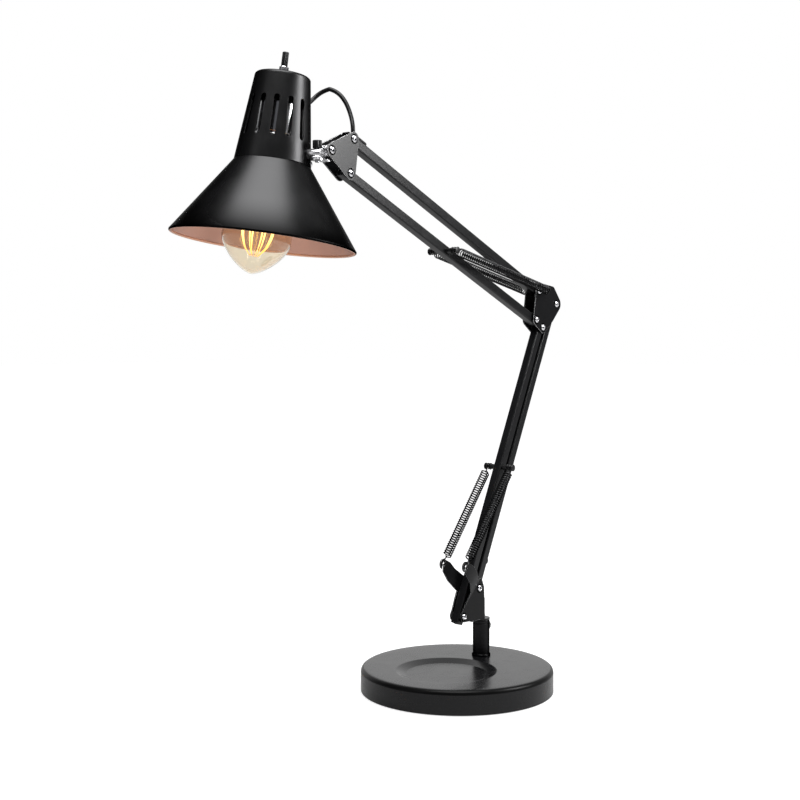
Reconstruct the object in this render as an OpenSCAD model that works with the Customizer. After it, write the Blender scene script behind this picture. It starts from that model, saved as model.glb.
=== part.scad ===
// Desk lamp on a weighted round base, with a spring-balanced swing arm and a turning head.
// Lengths are in millimetres. The origin is the base's centre on the table, +Z is up,
// and the arm swings in a plane parallel to XZ with the head on the -X side.

/* [Base] */
// Diameter of the round base
base_d = 190; // [170:1:220]
// Height of the base over the table
base_h = 24; // [20:0.5:32]
// Sheet thickness of the base cover
cover_t = 1.5; // [1:0.1:2]
// Radius of the cover's rounded top edge
base_edge_r = 4.5; // [2:0.5:5]
// Diameter of the dish pressed into the cover
dish_d = 100; // [60:1:106]
// Diameter of the dish's flat floor
dish_floor_d = 78; // [40:1:84]
// Depth of the dish
dish_depth = 3.2; // [1:0.1:4]
// Distance from the base's centre to the dish's centre
dish_offset = 21; // [10:1:22]
// Space between the iron weight and the cover's wall
ballast_space = 9.5; // [2:0.5:20]
// Thickness of the steel bottom plate
plate_t = 1.5; // [1:0.1:2.5]
// Thickness of the soft foot pad
pad_t = 1.6; // [1:0.1:3]

/* [Post] */
// Distance from the base's centre to the post
post_offset = 50.5; // [46:0.5:60]
// Angle between the arm's plane and the line from the base's centre to the post
base_turn = 8; // [0:1:20]
// Diameter of the post
post_d = 17; // [14:0.5:20]
// Height of the post over the base
post_h = 37; // [30:1:60]
// Diameter of the bracket's turning spigot
spigot_d = 10; // [8:0.5:11]
// Diameter of the clamp screw's knurled head
clamp_head_d = 13; // [10:0.5:18]

/* [Arms] */
// Length of each bar from pivot to pivot
bar_len = 320; // [260:5:380]
// Width of the square bars
bar_w = 9; // [8.5:0.1:9.4]
// Wall of the square bars
bar_wall = 1; // [0.8:0.1:1.2]
// Angle of the lower arm over the table at rest
lower_rest = 64.2; // [61:0.1:80]
// Angle of the upper arm over the table at rest
upper_rest = 23.4; // [0:0.1:40]
// Thickness of the pressed steel plates
sheet_t = 1.2; // [1:0.1:1.5]
// Diameter of the rivet shanks
rivet_d = 4; // [3:0.1:4.6]
// Diameter of the rivet heads
rivet_head_d = 7; // [6:0.5:8]

/* [Springs] */
// Outer diameter of the springs
spring_d = 9.4; // [7:0.1:9.6]
// Diameter of the spring wire
wire_d = 1.6; // [0.8:0.1:1.6]
// Curls on each spring
spring_curls = 22; // [12:1:22]
// Distance of the springs' centre lines from the arm's plane
spring_side = 14; // [13.5:0.1:15]
// Distance from the front pivot to the lower springs' pin
lower_pin_at = 160; // [120:1:170]
// Distance from the elbow pivot to the upper springs' pin
upper_pin_at = 165; // [130:1:190]

/* [Shade] */
// Diameter of the shade's rim
shade_d = 165; // [150:1:180]
// Height of the cone from its rim to the neck
cone_h = 70.5; // [60:0.5:90]
// Sheet thickness of the cone and the neck
shade_t = 1; // [0.8:0.1:1.2]
// Radius of the rolled rim
rim_r = 1.4; // [1.2:0.1:2]
// Diameter of the neck over the cone
neck_low_d = 68; // [63:0.5:70]
// Diameter of the neck under its rounded top
neck_top_d = 49.5; // [49:0.5:54]
// Height of the neck
neck_h = 77.5; // [74:0.5:90]
// Vents round the neck
vent_count = 14; // [8:1:15]
// Width of each vent
vent_w = 4.8; // [3:0.1:5]
// Length of each vent
vent_len = 36; // [24:0.5:40]
// Diameter of the bulb's globe
bulb_d = 62; // [50:1:62]
// Height of the bulb's tapered tip
bulb_tip_h = 31; // [24:1:34]

/* [Hidden] */
$fn = 64;

// Steps along each rounded corner of an outline
corner_steps = 8;

// Clearances: a running fit round a shaft, a fixed fit, and the gap between loose neighbours
run_gap = 0.05;
fixed_gap = 0.03;
side_gap = 0.1;
loose_gap = 0.3;
// How far every cutting shape runs past the face that it cuts
overrun = 1;
// How far the shapes of one piece run into each other
join = 0.5;

// Places in the base
cover_lift = 0.8;
ballast_d = base_d - 2 * cover_t - 2 * ballast_space;
pad_inset = 5;
pad_top = pad_t;
plate_top = pad_top + plate_t;
post_x = post_offset * cos(base_turn);
post_y = post_offset * sin(base_turn);
post_top = base_h + post_h;
collar_d = 19;
collar_h = 2;
stem_d = 10;
nut_flats = 17;
nut_h = 6;
nut_washer_d = 21;
nut_washer_t = 1.5;
nut_pocket_d = 25;
nut_pocket_h = nut_h + nut_washer_t + overrun;
dish_pocket_gap = 0.5;
bottom_screw_d = 4;
bottom_screw_head_d = 7.4;
bottom_screw_len = 9;
bottom_screw_ring_share = 0.8;
bottom_screw_count = 3;

// Post head and clamp
clamp_drop = 8.4;
clamp_z = post_top - clamp_drop;
clamp_turn = 20;
clamp_screw_d = 5;
clamp_head_t = 5;
clamp_neck = 1.5;
clamp_head_at = post_d / 2 + clamp_neck;
knurl_count = 24;
knurl_r = 0.6;
ring_gap_h = 0.8;
ring_gap_depth = 0.5;
post_ring_drop = 2.2;

// Bracket over the post
flange_step = 0.5;
flange_d = post_d + flange_step;
flange_h = 2;
spigot_len = 32;
block_left = 23;
block_right = 1.5;
block_top = 23;
p1_left = 38.2;
p1_up = 9.2;
p1 = [-p1_left, post_top + p1_up];
pivot_step = [26, 25];
p2 = p1 + pivot_step;
plate_half = 7;
plate_in = plate_half - sheet_t;
plate_r = 6.2;
bracket_foot_r = 5.3;
tube_end = 7.5;
elbow_end = 5.5;
bar_edge_r = 1.2;

// Bracket plates: places along the line of the two pivots, and square to it
step_angle = atan2(pivot_step[1], pivot_step[0]);
step_len = norm(pivot_step);
foot_corner = [20.5, -26];
foot_r = 2.5;
side_corner = [39, -3];
side_r = 3.5;
top_corner = [40.5, 4];
top_r = 4.5;
wing_low = [21.5, 8];
wing_end_low = [25.6, 38.6];
wing_end_high = [39.2, 34.6];
wing_bend_from = 6;
wing_bend_to = 24;
wing_out = spring_side - plate_half + sheet_t / 2;
hook_at = [31, 42.3];
hook_r = 5.3;
hook_eye_r = 2.3;
hook_mouth = 2.3;
hook_mouth_angle = 212;

// Elbow and head places, from the pivot between the front bar and the elbow
r3 = p1 + bar_len * [cos(lower_rest), sin(lower_rest)];
r1 = r3 + pivot_step;
elbow_low = [-11.8, 8.1];
r2 = r3 + elbow_low;
link_step = [4.7, 30.5];
r4 = r2 + link_step;
elbow_right = [14.5, 11];
elbow_right_r = 6.2;
elbow_knee_r = 8;
elbow_top = [17.5, 38];
elbow_top_r = 6;
elbow_peak = [-8.2, 43.5];
elbow_peak_r = 4;
spring_hole = [5, 37.4];
spring_hole_d = 2.6;
c_pivot = r2 + bar_len * [-cos(upper_rest), sin(upper_rest)];
b_pivot = c_pivot + link_step;
head_step = [-24.2, 17.7];
a_pivot = c_pivot + head_step;
// The frame of an upper bar runs from the elbow towards the head
upper_angle = 180 - upper_rest;

// Rivets, bushes and pins
rivet_head_h = 1.5;
bush_wall = 1;
bush_d = rivet_d + 2 * run_gap + 2 * bush_wall;
bush_flange_d = 8.4;
bush_bore = bush_d + 2 * fixed_gap;
pin_d = 4;
pin_sleeve_d = 5.4;
pin_head_d = 7;
pin_head_t = 0.9;
pin_reach = 17.6;
pin_groove = 5.2;
pin_bore = pin_d + 2 * fixed_gap;

// Grommets on the bars
slot_from = 1.5;
slot_to = 20;
slot_w = 5.2;
grommet_lip = 1.4;
grommet_t = 1.2;
strip_t = 2;
lead_hole_d = 7;
lead_ring_d = 8.6;
lead_bore_d = 4.6;
lead_at = 30;

// Head joint
knuckle_len = 11.5;
swivel_drop = 3.6;
stem_r = 4.3;
stem_tail = 4.6;
stem_chamfer = 0.6;
stem_neck_r = 3.2;
stem_neck_len = 7;
strap_t = 1.8;
strap_w = 9;
strap_nose = 5.5;
tongue_t = 4;
tongue_r = 4.6;
washer_count = 3;
washer_d = 10;
washer_step = 1.2;
swivel_screw_d = 4;
swivel_tail = 1.6;
swivel_knob_d = 8.2;
swivel_knob_h = 7;
swivel_yaw = 109.3;
head_roll = 5.2;
lean_trim = 1.6;
stem_reach = 42;
stem_nut_d = 10.5;
stem_nut_gap = 0.8;
stem_nut_t = 3;
v_x = post_x + a_pivot[0] - knuckle_len;
v_z = a_pivot[1] - swivel_drop;

// Shade, along its own axis from the rim
stem_lift = 6.6;
stem_up = cone_h + stem_lift;
neck_round_r = 3;
neck_side_h = neck_h - neck_round_r;
neck_half_angle = atan((neck_low_d - neck_top_d) / 2 / neck_side_h);
cone_step = 0.5;
cone_top_r = neck_low_d / 2 - cone_step;
collar_up = 6;
collar_notch = 13;
neck_top = cone_h + neck_h;
head_lean = neck_half_angle - lean_trim;
neck_out = neck_r(stem_up) * cos(neck_half_angle) / cos(lean_trim);
stem_face = stem_reach - neck_out - stem_r * tan(lean_trim);
collar_r = neck_r(cone_h + collar_up) - shade_t - side_gap;
vent_drop = 22;
screw_up = 2.8;
neck_screw_d = 2.5;
neck_screw_head_d = 4.2;
neck_screw_head_h = 1.2;
neck_screw_len = 5;
neck_screw_angles = [195, 335];
vent_turn = 8;
switch_tube_d = 7;
switch_tube_h = 6.5;
switch_nut_d = 9.6;
switch_nut_h = 7.5;
switch_body_d = 28;
switch_body_h = 23;
switch_shaft_d = 3;
switch_shaft_in = 14;
switch_knob_d = 5.8;
switch_knob_h = 13;
rib_r = 0.35;
knob_rib_count = 12;

// Lamp holder and bulb, hung under the switch and leaning a little; heights run down from there
lamp_seat_up = neck_top - shade_t - switch_body_h;
lamp_lean = 2.9;
lamp_lean_to = 20;
holder_drop = 1.2;
holder_d = 37;
holder_h = 48;
holder_roof = 20;
nipple_d = 10;
nipple_h = 0.7;
shell_d = 28.6;
shell_t = 0.6;
shell_h = 25;
contact_d = 8;
bulb_reach = 152;
contact_drop = 25;
cap_tip_d = 9;
cap_tip_h = 2.4;
cap_d = 26.6;
cap_h = 23;
cap_t = 0.5;
glass_t = 0.9;
glass_neck_r = 12.4;
glass_in_cap = 6;
glass_steps = 14;
glass_side_power = 0.8;
glass_tip_power = 1.33;
mount_r = 5.5;
mount_tip_r = 2;
mount_len = 34;
mount_rod_r = 1;
arm_r = 0.3;
filament_count = 8;
filament_r = 0.35;
filament_top_r = 14.5;
filament_low_r = 9;
filament_len = 44;
filament_up = 14;
cap_top_z = -contact_drop - cap_tip_h;
holder_mouth_z = -holder_drop - holder_h;
filament_top_z = -bulb_reach + filament_up + filament_len;

// Gland of the head cord in the neck
gland_drop = 17.7;
gland_up = neck_top - gland_drop;
gland_turn = 255.6;
gland_d = 6;
gland_lip_d = 7.8;
gland_lip_t = 1.2;
gland_lip_gap = 0.5;
gland_in = 3;
cord_d = 4;

// Route of the head cord from the head's swivel point, from the gland to the slot in the bar
cord_route = [
    [19.1, 38.7, 49.7], [23.1, 39, 49.3], [29.7, 40, 50.2], [37.8, 40.9, 55.8],
    [43.1, 37.4, 61.9], [46.8, 28.6, 65], [48.3, 19.3, 60.9], [49.3, 12.5, 53.5],
    [50, 8.1, 45.2], [48.8, 3.7, 36], [46.6, 0, 27.4], [46.2, 0, 19.7],
    [49, 0, 14.5], [54, 0, 10.3], [63, 0, 6.3], [72, 0, 2.3]
];
cord_apex = 5;
cord_fold = 9;
cord_sides = 10;

// Moves a piece from the arm's plane to its place, turned so that +X runs along a bar
module at_pivot(p, angle) {
    translate([post_x + p[0], post_y, p[1]]) rotate([0, -angle, 0]) children();
}

// Moves a piece to a pivot of the arm, with the same axes as the lamp
module at_point(p) {
    translate([post_x + p[0], post_y, p[1]]) children();
}

// Stands a flat outline of the arm's plane up, from one side distance to another
module stand(from, to) {
    translate([0, to, 0]) rotate([90, 0, 0]) linear_extrude(height = to - from) children();
}

// A round bore square to the arm's plane, at a place in the plane
module cross_bore(p, d, half) {
    translate([p[0], half, p[1]]) rotate([90, 0, 0]) cylinder(d = d, h = 2 * half);
}

// Angle of the outer tangent's normal for two corner circles in anticlockwise order
function tangent_turn(p, q, rp, rq) =
    atan2(q[1] - p[1], q[0] - p[0]) - acos((rp - rq) / norm(q - p));

// Points of a rounded outline round circles of given centres and radii
function rounded(pts, radii) = [
    for (i = [0 : len(pts) - 1])
        let (n = len(pts), before = (i + n - 1) % n, after = (i + 1) % n)
        let (a = tangent_turn(pts[before], pts[i], radii[before], radii[i]))
        let (b = tangent_turn(pts[i], pts[after], radii[i], radii[after]))
        let (sweep = (b - a + 720) % 360)
        for (k = [0 : corner_steps])
            pts[i] + radii[i] * [cos(a + sweep * k / corner_steps), sin(a + sweep * k / corner_steps)]
];

// Square outline with rounded corners
module round_square(w, r) {
    h = w / 2 - r;
    polygon(rounded([[-h, -h], [h, -h], [h, h], [-h, h]], [r, r, r, r]));
}

// A ring or washer
module washer(outer, inner, h) {
    difference() {
        cylinder(d = outer, h = h);
        translate([0, 0, -overrun]) cylinder(d = inner, h = h + 2 * overrun);
    }
}

// Base

module foot_pad() {
    color("#202022") difference() {
        cylinder(d = base_d - 2 * pad_inset, h = pad_t);
        bottom_screw_places() translate([0, 0, -overrun])
            cylinder(d = bottom_screw_head_d + 2 * loose_gap, h = pad_t + 2 * overrun);
    }
}

// Puts children at each screw under the base
module bottom_screw_places() {
    for (i = [0 : bottom_screw_count - 1])
        rotate([0, 0, 120 * i + 60])
            translate([bottom_screw_ring_share * ballast_d / 2, 0, 0]) children();
}

module bottom_plate() {
    color("#5a5d60") difference() {
        translate([0, 0, pad_top])
            cylinder(d = base_d - 2 * cover_t - 2 * loose_gap, h = plate_t);
        bottom_screw_places() translate([0, 0, pad_top - overrun])
            cylinder(d = bottom_screw_d + 2 * run_gap, h = plate_t + 2 * overrun);
        bottom_screw_places() translate([0, 0, pad_top])
            cylinder(d1 = bottom_screw_head_d + 2 * run_gap, d2 = bottom_screw_d + 2 * run_gap,
                h = plate_t);
    }
}

module bottom_screws() {
    color("#b9bcc0") bottom_screw_places() translate([0, 0, pad_top]) {
        cylinder(d1 = bottom_screw_head_d, d2 = bottom_screw_d, h = plate_t);
        cylinder(d = bottom_screw_d, h = bottom_screw_len);
    }
}

module ballast() {
    top = base_h - cover_t;
    color("#3b3c3e") difference() {
        translate([0, 0, plate_top]) cylinder(d = ballast_d, h = top - plate_top);
        dish_place() translate([0, 0, base_h - dish_depth - cover_t - dish_pocket_gap])
            cylinder(d = dish_d + 2 * cover_t + 2 * dish_pocket_gap, h = base_h);
        translate([post_x, post_y, 0]) cylinder(d = stem_d + 2 * run_gap, h = base_h);
        translate([post_x, post_y, plate_top - overrun])
            cylinder(d = nut_pocket_d, h = nut_pocket_h + overrun);
        bottom_screw_places() translate([0, 0, pad_top])
            cylinder(d = bottom_screw_d + 2 * fixed_gap, h = bottom_screw_len + plate_t);
    }
}

// Moves children to the dish's centre
module dish_place() {
    rotate([0, 0, base_turn]) translate([-dish_offset, 0, 0]) children();
}

module base_cover() {
    r = base_d / 2;
    color("#1c1c1e") difference() {
        union() {
            difference() {
                union() {
                    translate([0, 0, cover_lift])
                        cylinder(r = r, h = base_h - cover_lift - base_edge_r);
                    translate([0, 0, base_h - base_edge_r])
                        cylinder(r = r - base_edge_r, h = base_edge_r);
                    translate([0, 0, base_h - base_edge_r])
                        rotate_extrude() translate([r - base_edge_r, 0]) circle(r = base_edge_r);
                }
                translate([0, 0, -overrun])
                    cylinder(r = r - cover_t, h = base_h - base_edge_r + overrun);
                translate([0, 0, base_h - base_edge_r - overrun])
                    cylinder(r = r - base_edge_r, h = base_edge_r - cover_t + overrun);
            }
            dish_place() translate([0, 0, base_h - dish_depth - cover_t])
                cylinder(d = dish_d + 2 * cover_t, h = dish_depth);
        }
        dish_place() translate([0, 0, base_h - dish_depth])
            cylinder(d1 = dish_floor_d, d2 = dish_d, h = dish_depth);
        dish_place() translate([0, 0, base_h]) cylinder(d = dish_d, h = overrun);
        translate([post_x, post_y, 0]) cylinder(d = stem_d + 2 * fixed_gap, h = base_h + overrun);
    }
}

// Post and clamp

module post() {
    color("#161618") difference() {
        union() {
            translate([post_x, post_y, base_h]) cylinder(d = post_d, h = post_h);
            translate([post_x, post_y, base_h]) cylinder(d = collar_d, h = collar_h);
            translate([post_x, post_y, plate_top + loose_gap])
                cylinder(d = stem_d, h = base_h - plate_top - loose_gap + join);
        }
        translate([post_x, post_y, post_top - spigot_len - loose_gap])
            cylinder(d = spigot_d + 2 * run_gap, h = spigot_len + loose_gap + overrun);
        translate([post_x, post_y, post_top - post_ring_drop - ring_gap_h])
            washer(post_d + 2 * overrun, post_d - 2 * ring_gap_depth, ring_gap_h);
        clamp_place() rotate([0, 90, 0])
            cylinder(d = clamp_screw_d + 2 * run_gap, h = post_d);
    }
}

module post_nut() {
    top = plate_top + nut_pocket_h;
    color("#b9bcc0") translate([post_x, post_y, 0]) difference() {
        union() {
            translate([0, 0, top - nut_washer_t]) cylinder(d = nut_washer_d, h = nut_washer_t);
            translate([0, 0, top - nut_washer_t - nut_h])
                cylinder(d = nut_flats / cos(30), h = nut_h, $fn = 6);
        }
        cylinder(d = stem_d + 2 * fixed_gap, h = base_h);
    }
}

// Moves children to the clamp screw, with +X pointing out of the post
module clamp_place() {
    translate([post_x, post_y, clamp_z]) rotate([0, 0, clamp_turn]) children();
}

module clamp_screw() {
    from = spigot_d / 2 + loose_gap;
    color("#c9ccd0") clamp_place() translate([from, 0, 0]) rotate([0, 90, 0])
        cylinder(d = clamp_screw_d, h = clamp_head_at + clamp_head_t / 2 - from);
}

module clamp_knob() {
    color("#141416") clamp_place() translate([clamp_head_at, 0, 0]) rotate([0, 90, 0])
        difference() {
            cylinder(d = clamp_head_d, h = clamp_head_t);
            translate([0, 0, -overrun])
                cylinder(d = clamp_screw_d + 2 * fixed_gap, h = clamp_head_t / 2 + overrun);
            for (i = [0 : knurl_count - 1])
                rotate([0, 0, 360 / knurl_count * i])
                    translate([clamp_head_d / 2 + knurl_r / 2, 0, -overrun])
                        cylinder(r = knurl_r, h = clamp_head_t + 2 * overrun);
        }
}

// Bracket that turns on the post

module bracket_block() {
    color("#18181a") union() {
        translate([post_x, post_y, post_top - spigot_len]) cylinder(d = spigot_d, h = spigot_len);
        translate([post_x, post_y, post_top]) cylinder(d = flange_d, h = flange_h);
        translate([post_x - block_left, post_y - plate_in, post_top + flange_h - join])
            cube([block_left - block_right, 2 * plate_in, block_top - flange_h + join]);
    }
}

// Outline of a bracket plate in the frame of its two pivots
module bracket_outline() {
    difference() {
        union() {
            polygon(rounded([[0, 0], foot_corner, side_corner, top_corner, wing_low],
                [bracket_foot_r, foot_r, side_r, top_r, plate_r / 2]));
            polygon([wing_low, top_corner, wing_end_high, hook_at + [hook_r, 0], hook_at,
                wing_end_low]);
            translate(top_corner) circle(r = top_r);
            translate(hook_at) circle(r = hook_r);
        }
        translate(hook_at) circle(r = hook_eye_r);
        translate(hook_at) rotate([0, 0, hook_mouth_angle])
            translate([0, -hook_mouth / 2]) square([2 * hook_r, hook_mouth]);
    }
}

// Profile of the bent sheet: side distance against distance from the pivots' line
module wing_profile() {
    far = hook_at[1] + 2 * hook_r;
    polygon([
        [plate_in, -far], [plate_half, -far], [plate_half, wing_bend_from],
        [plate_half + wing_out, wing_bend_to], [plate_half + wing_out, far],
        [plate_in + wing_out, far], [plate_in + wing_out, wing_bend_to], [plate_in, wing_bend_from]
    ]);
}

// Turns a piece of the far side into its twin on the near side
module near_side() {
    translate([0, 2 * post_y, 0]) mirror([0, 1, 0]) children();
}

// A bracket plate, as it is on the far side
module bracket_plate() {
    reach = step_len + 4 * hook_r;
    difference() {
        at_pivot(p1, step_angle) intersection() {
            stand(0, 2 * plate_half + 2 * wing_out) bracket_outline();
            translate([-reach, 0, 0]) rotate([90, 0, 90])
                linear_extrude(height = 3 * reach) wing_profile();
        }
        at_point([0, 0]) cross_bore(p1, rivet_d + 2 * fixed_gap, 3 * plate_half);
        at_point([0, 0]) cross_bore(p2, rivet_d + 2 * fixed_gap, 3 * plate_half);
    }
}

module bracket_plate_near() {
    color("#1b1b1d") near_side() bracket_plate();
}

module bracket_plate_far() {
    color("#1b1b1d") bracket_plate();
}

// A rivet through both plates at a pivot, with a domed head on each side
module rivet(p) {
    at_point(p) {
        cross_bore([0, 0], rivet_d, plate_half);
        for (side = [-1, 1]) rotate([-90 * side, 0, 0]) translate([0, 0, plate_half]) rivet_head();
    }
}

// Domed rivet head, standing on its flat face
module rivet_head() {
    r = rivet_head_d / 2;
    dome_r = (r * r + rivet_head_h * rivet_head_h) / (2 * rivet_head_h);
    intersection() {
        cylinder(r = r, h = rivet_head_h);
        translate([0, 0, rivet_head_h - dome_r]) sphere(r = dome_r);
    }
}

module bracket_rivets() {
    color("#dfe1e4") {
        rivet(p1);
        rivet(p2);
    }
}

// Bars and what turns in them

// A square bar along +X from its first pivot, with its ends past the pivots and its cross bores
module bar(first_end, last_end, bores, bore_d) {
    difference() {
        translate([-first_end, 0, 0]) rotate([90, 0, 90])
            linear_extrude(height = first_end + bar_len + last_end) round_square(bar_w, bar_edge_r);
        translate([-first_end - overrun, 0, 0]) rotate([90, 0, 90])
            linear_extrude(height = first_end + bar_len + last_end + 2 * overrun)
                round_square(bar_w - 2 * bar_wall, bar_edge_r / 2);
        for (i = [0 : len(bores) - 1]) cross_bore([bores[i], 0], bore_d[i], bar_w);
    }
}

// A flanged bush through a bar at a pivot
module bush() {
    flange_t = plate_in - side_gap - bar_w / 2;
    difference() {
        union() {
            cross_bore([0, 0], bush_d, bar_w / 2 + flange_t);
            for (side = [-1, 1]) rotate([-90 * side, 0, 0]) translate([0, 0, bar_w / 2])
                cylinder(d = bush_flange_d, h = flange_t);
        }
        cross_bore([0, 0], rivet_d + 2 * run_gap, bar_w);
    }
}

// The bushes at both ends of a bar
module bushes() {
    bush();
    translate([bar_len, 0, 0]) bush();
}

// A pin through a bar that holds a spring at each end
module spring_pin() {
    cross_bore([0, 0], pin_d, pin_reach);
    for (side = [-1, 1]) rotate([-90 * side, 0, 0]) {
        translate([0, 0, bar_w / 2 + run_gap])
            cylinder(d = pin_sleeve_d, h = spring_side - pin_groove / 2 - bar_w / 2 - run_gap);
        translate([0, 0, spring_side - pin_groove / 2 - pin_head_t])
            cylinder(d = pin_head_d, h = pin_head_t);
        translate([0, 0, pin_reach - pin_head_t]) cylinder(d = pin_head_d, h = pin_head_t);
    }
}

module lower_front_bar() {
    color("#1d1d1f") at_pivot(p1, lower_rest)
        bar(tube_end, elbow_end, [0, bar_len, lower_pin_at], [bush_bore, bush_bore, pin_bore]);
}

module lower_front_bushes() {
    color("#2a2a2c") at_pivot(p1, lower_rest) bushes();
}

module lower_spring_pin() {
    color("#101012") at_pivot(p1, lower_rest) translate([lower_pin_at, 0, 0]) spring_pin();
}

module lower_rear_bar() {
    color("#1d1d1f") at_pivot(p2, lower_rest) difference() {
        bar(tube_end, elbow_end, [0, bar_len], [bush_bore, bush_bore]);
        translate([lead_at, 0, -bar_w]) cylinder(d = lead_hole_d + 2 * fixed_gap, h = bar_w);
    }
}

module lower_rear_bushes() {
    color("#2a2a2c") at_pivot(p2, lower_rest) bushes();
}

// Soft ring where the supply lead leaves the rear bar
module lead_grommet() {
    color("#0e0e10") at_pivot(p2, lower_rest) translate([lead_at, 0, 0]) difference() {
        union() {
            translate([0, 0, -bar_w / 2 - grommet_t]) cylinder(d = lead_ring_d, h = grommet_t);
            translate([0, 0, -bar_w / 2]) cylinder(d = lead_hole_d, h = bar_wall);
        }
        translate([0, 0, -bar_w]) cylinder(d = lead_bore_d, h = bar_w);
    }
}

// Elbow

module elbow_outline() {
    polygon(rounded(
        [[0, 0], elbow_right, pivot_step, elbow_top, elbow_peak, elbow_low],
        [plate_r, elbow_right_r, elbow_knee_r, elbow_top_r, elbow_peak_r, plate_r]));
}

// An elbow plate, as it is on the far side
module elbow_plate() {
    at_point(r3) difference() {
        stand(plate_in, plate_half) elbow_outline();
        for (p = [[0, 0], pivot_step, elbow_low, elbow_low + link_step])
            cross_bore(p, rivet_d + 2 * fixed_gap, 2 * plate_half);
        cross_bore(spring_hole, spring_hole_d, 2 * plate_half);
    }
}

module elbow_plate_near() {
    color("#1b1b1d") near_side() elbow_plate();
}

module elbow_plate_far() {
    color("#1b1b1d") elbow_plate();
}

module elbow_rivets() {
    color("#dfe1e4") {
        rivet(r1);
        rivet(r2);
        rivet(r3);
        rivet(r4);
    }
}

module upper_low_bar() {
    color("#1d1d1f") at_pivot(r2, upper_angle)
        bar(elbow_end, elbow_end, [0, bar_len, upper_pin_at], [bush_bore, bush_bore, pin_bore]);
}

module upper_low_bushes() {
    color("#2a2a2c") at_pivot(r2, upper_angle) bushes();
}

module upper_spring_pin() {
    color("#101012") at_pivot(r2, upper_angle) translate([upper_pin_at, 0, 0]) spring_pin();
}

// Slot along a bar's top wall, from the pivot at the head towards the elbow
module slot_shape(from, to, w) {
    translate([bar_len - to + w / 2, 0]) circle(d = w);
    translate([bar_len - from - w / 2, 0]) circle(d = w);
    translate([bar_len - to + w / 2, -w / 2]) square([to - from - w, w]);
}

module upper_top_bar() {
    color("#1d1d1f") at_pivot(r4, upper_angle) difference() {
        bar(elbow_end, elbow_end, [0, bar_len], [bush_bore, bush_bore]);
        translate([0, 0, -bar_w]) linear_extrude(height = bar_w)
            slot_shape(slot_from, slot_to, slot_w);
    }
}

module upper_top_bushes() {
    color("#2a2a2c") at_pivot(r4, upper_angle) bushes();
}

// Soft lip round the slot where the head cord goes into the bar
module cord_grommet() {
    color("#0e0e10") at_pivot(r4, upper_angle) translate([0, 0, -bar_w / 2 - strip_t])
        linear_extrude(height = strip_t) difference() {
            slot_shape(slot_from - grommet_lip, slot_to + grommet_lip, slot_w + 2 * grommet_lip);
            slot_shape(slot_from, slot_to, slot_w);
        }
}

// Head bracket

module head_plate() {
    at_point(c_pivot) difference() {
        stand(plate_in, plate_half)
            polygon(rounded([[0, 0], link_step, head_step], [plate_r, plate_r, plate_r]));
        for (p = [[0, 0], link_step, head_step])
            cross_bore(p, rivet_d + 2 * fixed_gap, 2 * plate_half);
    }
}

module head_plate_near() {
    color("#2b2b2d") near_side() head_plate();
}

module head_plate_far() {
    color("#2b2b2d") head_plate();
}

module head_rivets() {
    color("#dfe1e4") {
        rivet(a_pivot);
        rivet(b_pivot);
        rivet(c_pivot);
    }
}

// Head joint

module knuckle_strap() {
    strap_top = v_z - stem_r - side_gap;
    color("#d9dbde") difference() {
        union() {
            translate([v_x, post_y, strap_top - strap_t]) {
                cylinder(r = strap_nose, h = strap_t);
                translate([0, -strap_w / 2, 0]) cube([knuckle_len, strap_w, strap_t]);
            }
            at_point(a_pivot) {
                cross_bore([0, 0], 2 * tongue_r, tongue_t / 2);
                translate([-tongue_r, -tongue_t / 2, strap_top - a_pivot[1] - join])
                    cube([2 * tongue_r, tongue_t, a_pivot[1] - strap_top + join]);
            }
        }
        at_point(a_pivot) cross_bore([0, 0], rivet_d + 2 * run_gap, tongue_t);
        translate([v_x, post_y, strap_top - 2 * strap_t])
            cylinder(d = swivel_screw_d + 2 * run_gap, h = 3 * strap_t);
    }
}

// Washers that fill the head bracket on both sides of the tongue
module tilt_washers() {
    space = plate_in - tongue_t / 2 - 2 * side_gap;
    each_t = (space - (washer_count - 1) * side_gap) / washer_count;
    color("#c9ccd0") at_point(a_pivot) for (side = [-1, 1]) rotate([-90 * side, 0, 0])
        for (i = [0 : washer_count - 1])
            translate([0, 0, tongue_t / 2 + side_gap + i * (each_t + side_gap)])
                washer(washer_d - (i % 2) * washer_step, rivet_d + 2 * run_gap, each_t);
}

module swivel_screw() {
    bottom = v_z - stem_r - strap_t - swivel_tail;
    color("#b9bcc0") translate([v_x, post_y, bottom])
        cylinder(d = swivel_screw_d, h = v_z + stem_r + swivel_knob_h / 2 - bottom);
}

module swivel_knob() {
    color("#141416") translate([v_x, post_y, v_z + stem_r + side_gap]) difference() {
        cylinder(d = swivel_knob_d, h = swivel_knob_h);
        translate([0, 0, -overrun])
            cylinder(d = swivel_screw_d + 2 * fixed_gap, h = swivel_knob_h / 2 + overrun);
        for (i = [0 : knob_rib_count - 1]) rotate([0, 0, 360 / knob_rib_count * i])
            translate([swivel_knob_d / 2 + rib_r, 0, -overrun])
                cylinder(r = 2 * rib_r, h = swivel_knob_h + 2 * overrun);
    }
}

// Moves children to the head's stem: +X runs from the swivel screw to the neck's axis
module in_stem() {
    translate([v_x, post_y, v_z]) rotate([0, 0, swivel_yaw]) rotate([head_roll, 0, 0]) children();
}

// Moves children to the shade's own axis, with its origin in the rim's plane
module in_shade() {
    in_stem() translate([stem_reach, 0, 0]) rotate([0, -head_lean, 0])
        translate([0, 0, -stem_up]) children();
}

// Radius of the neck's outside at a height over the rim
function neck_r(up) =
    neck_low_d / 2 + (neck_top_d - neck_low_d) / 2 * (up - cone_h) / neck_side_h;

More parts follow.
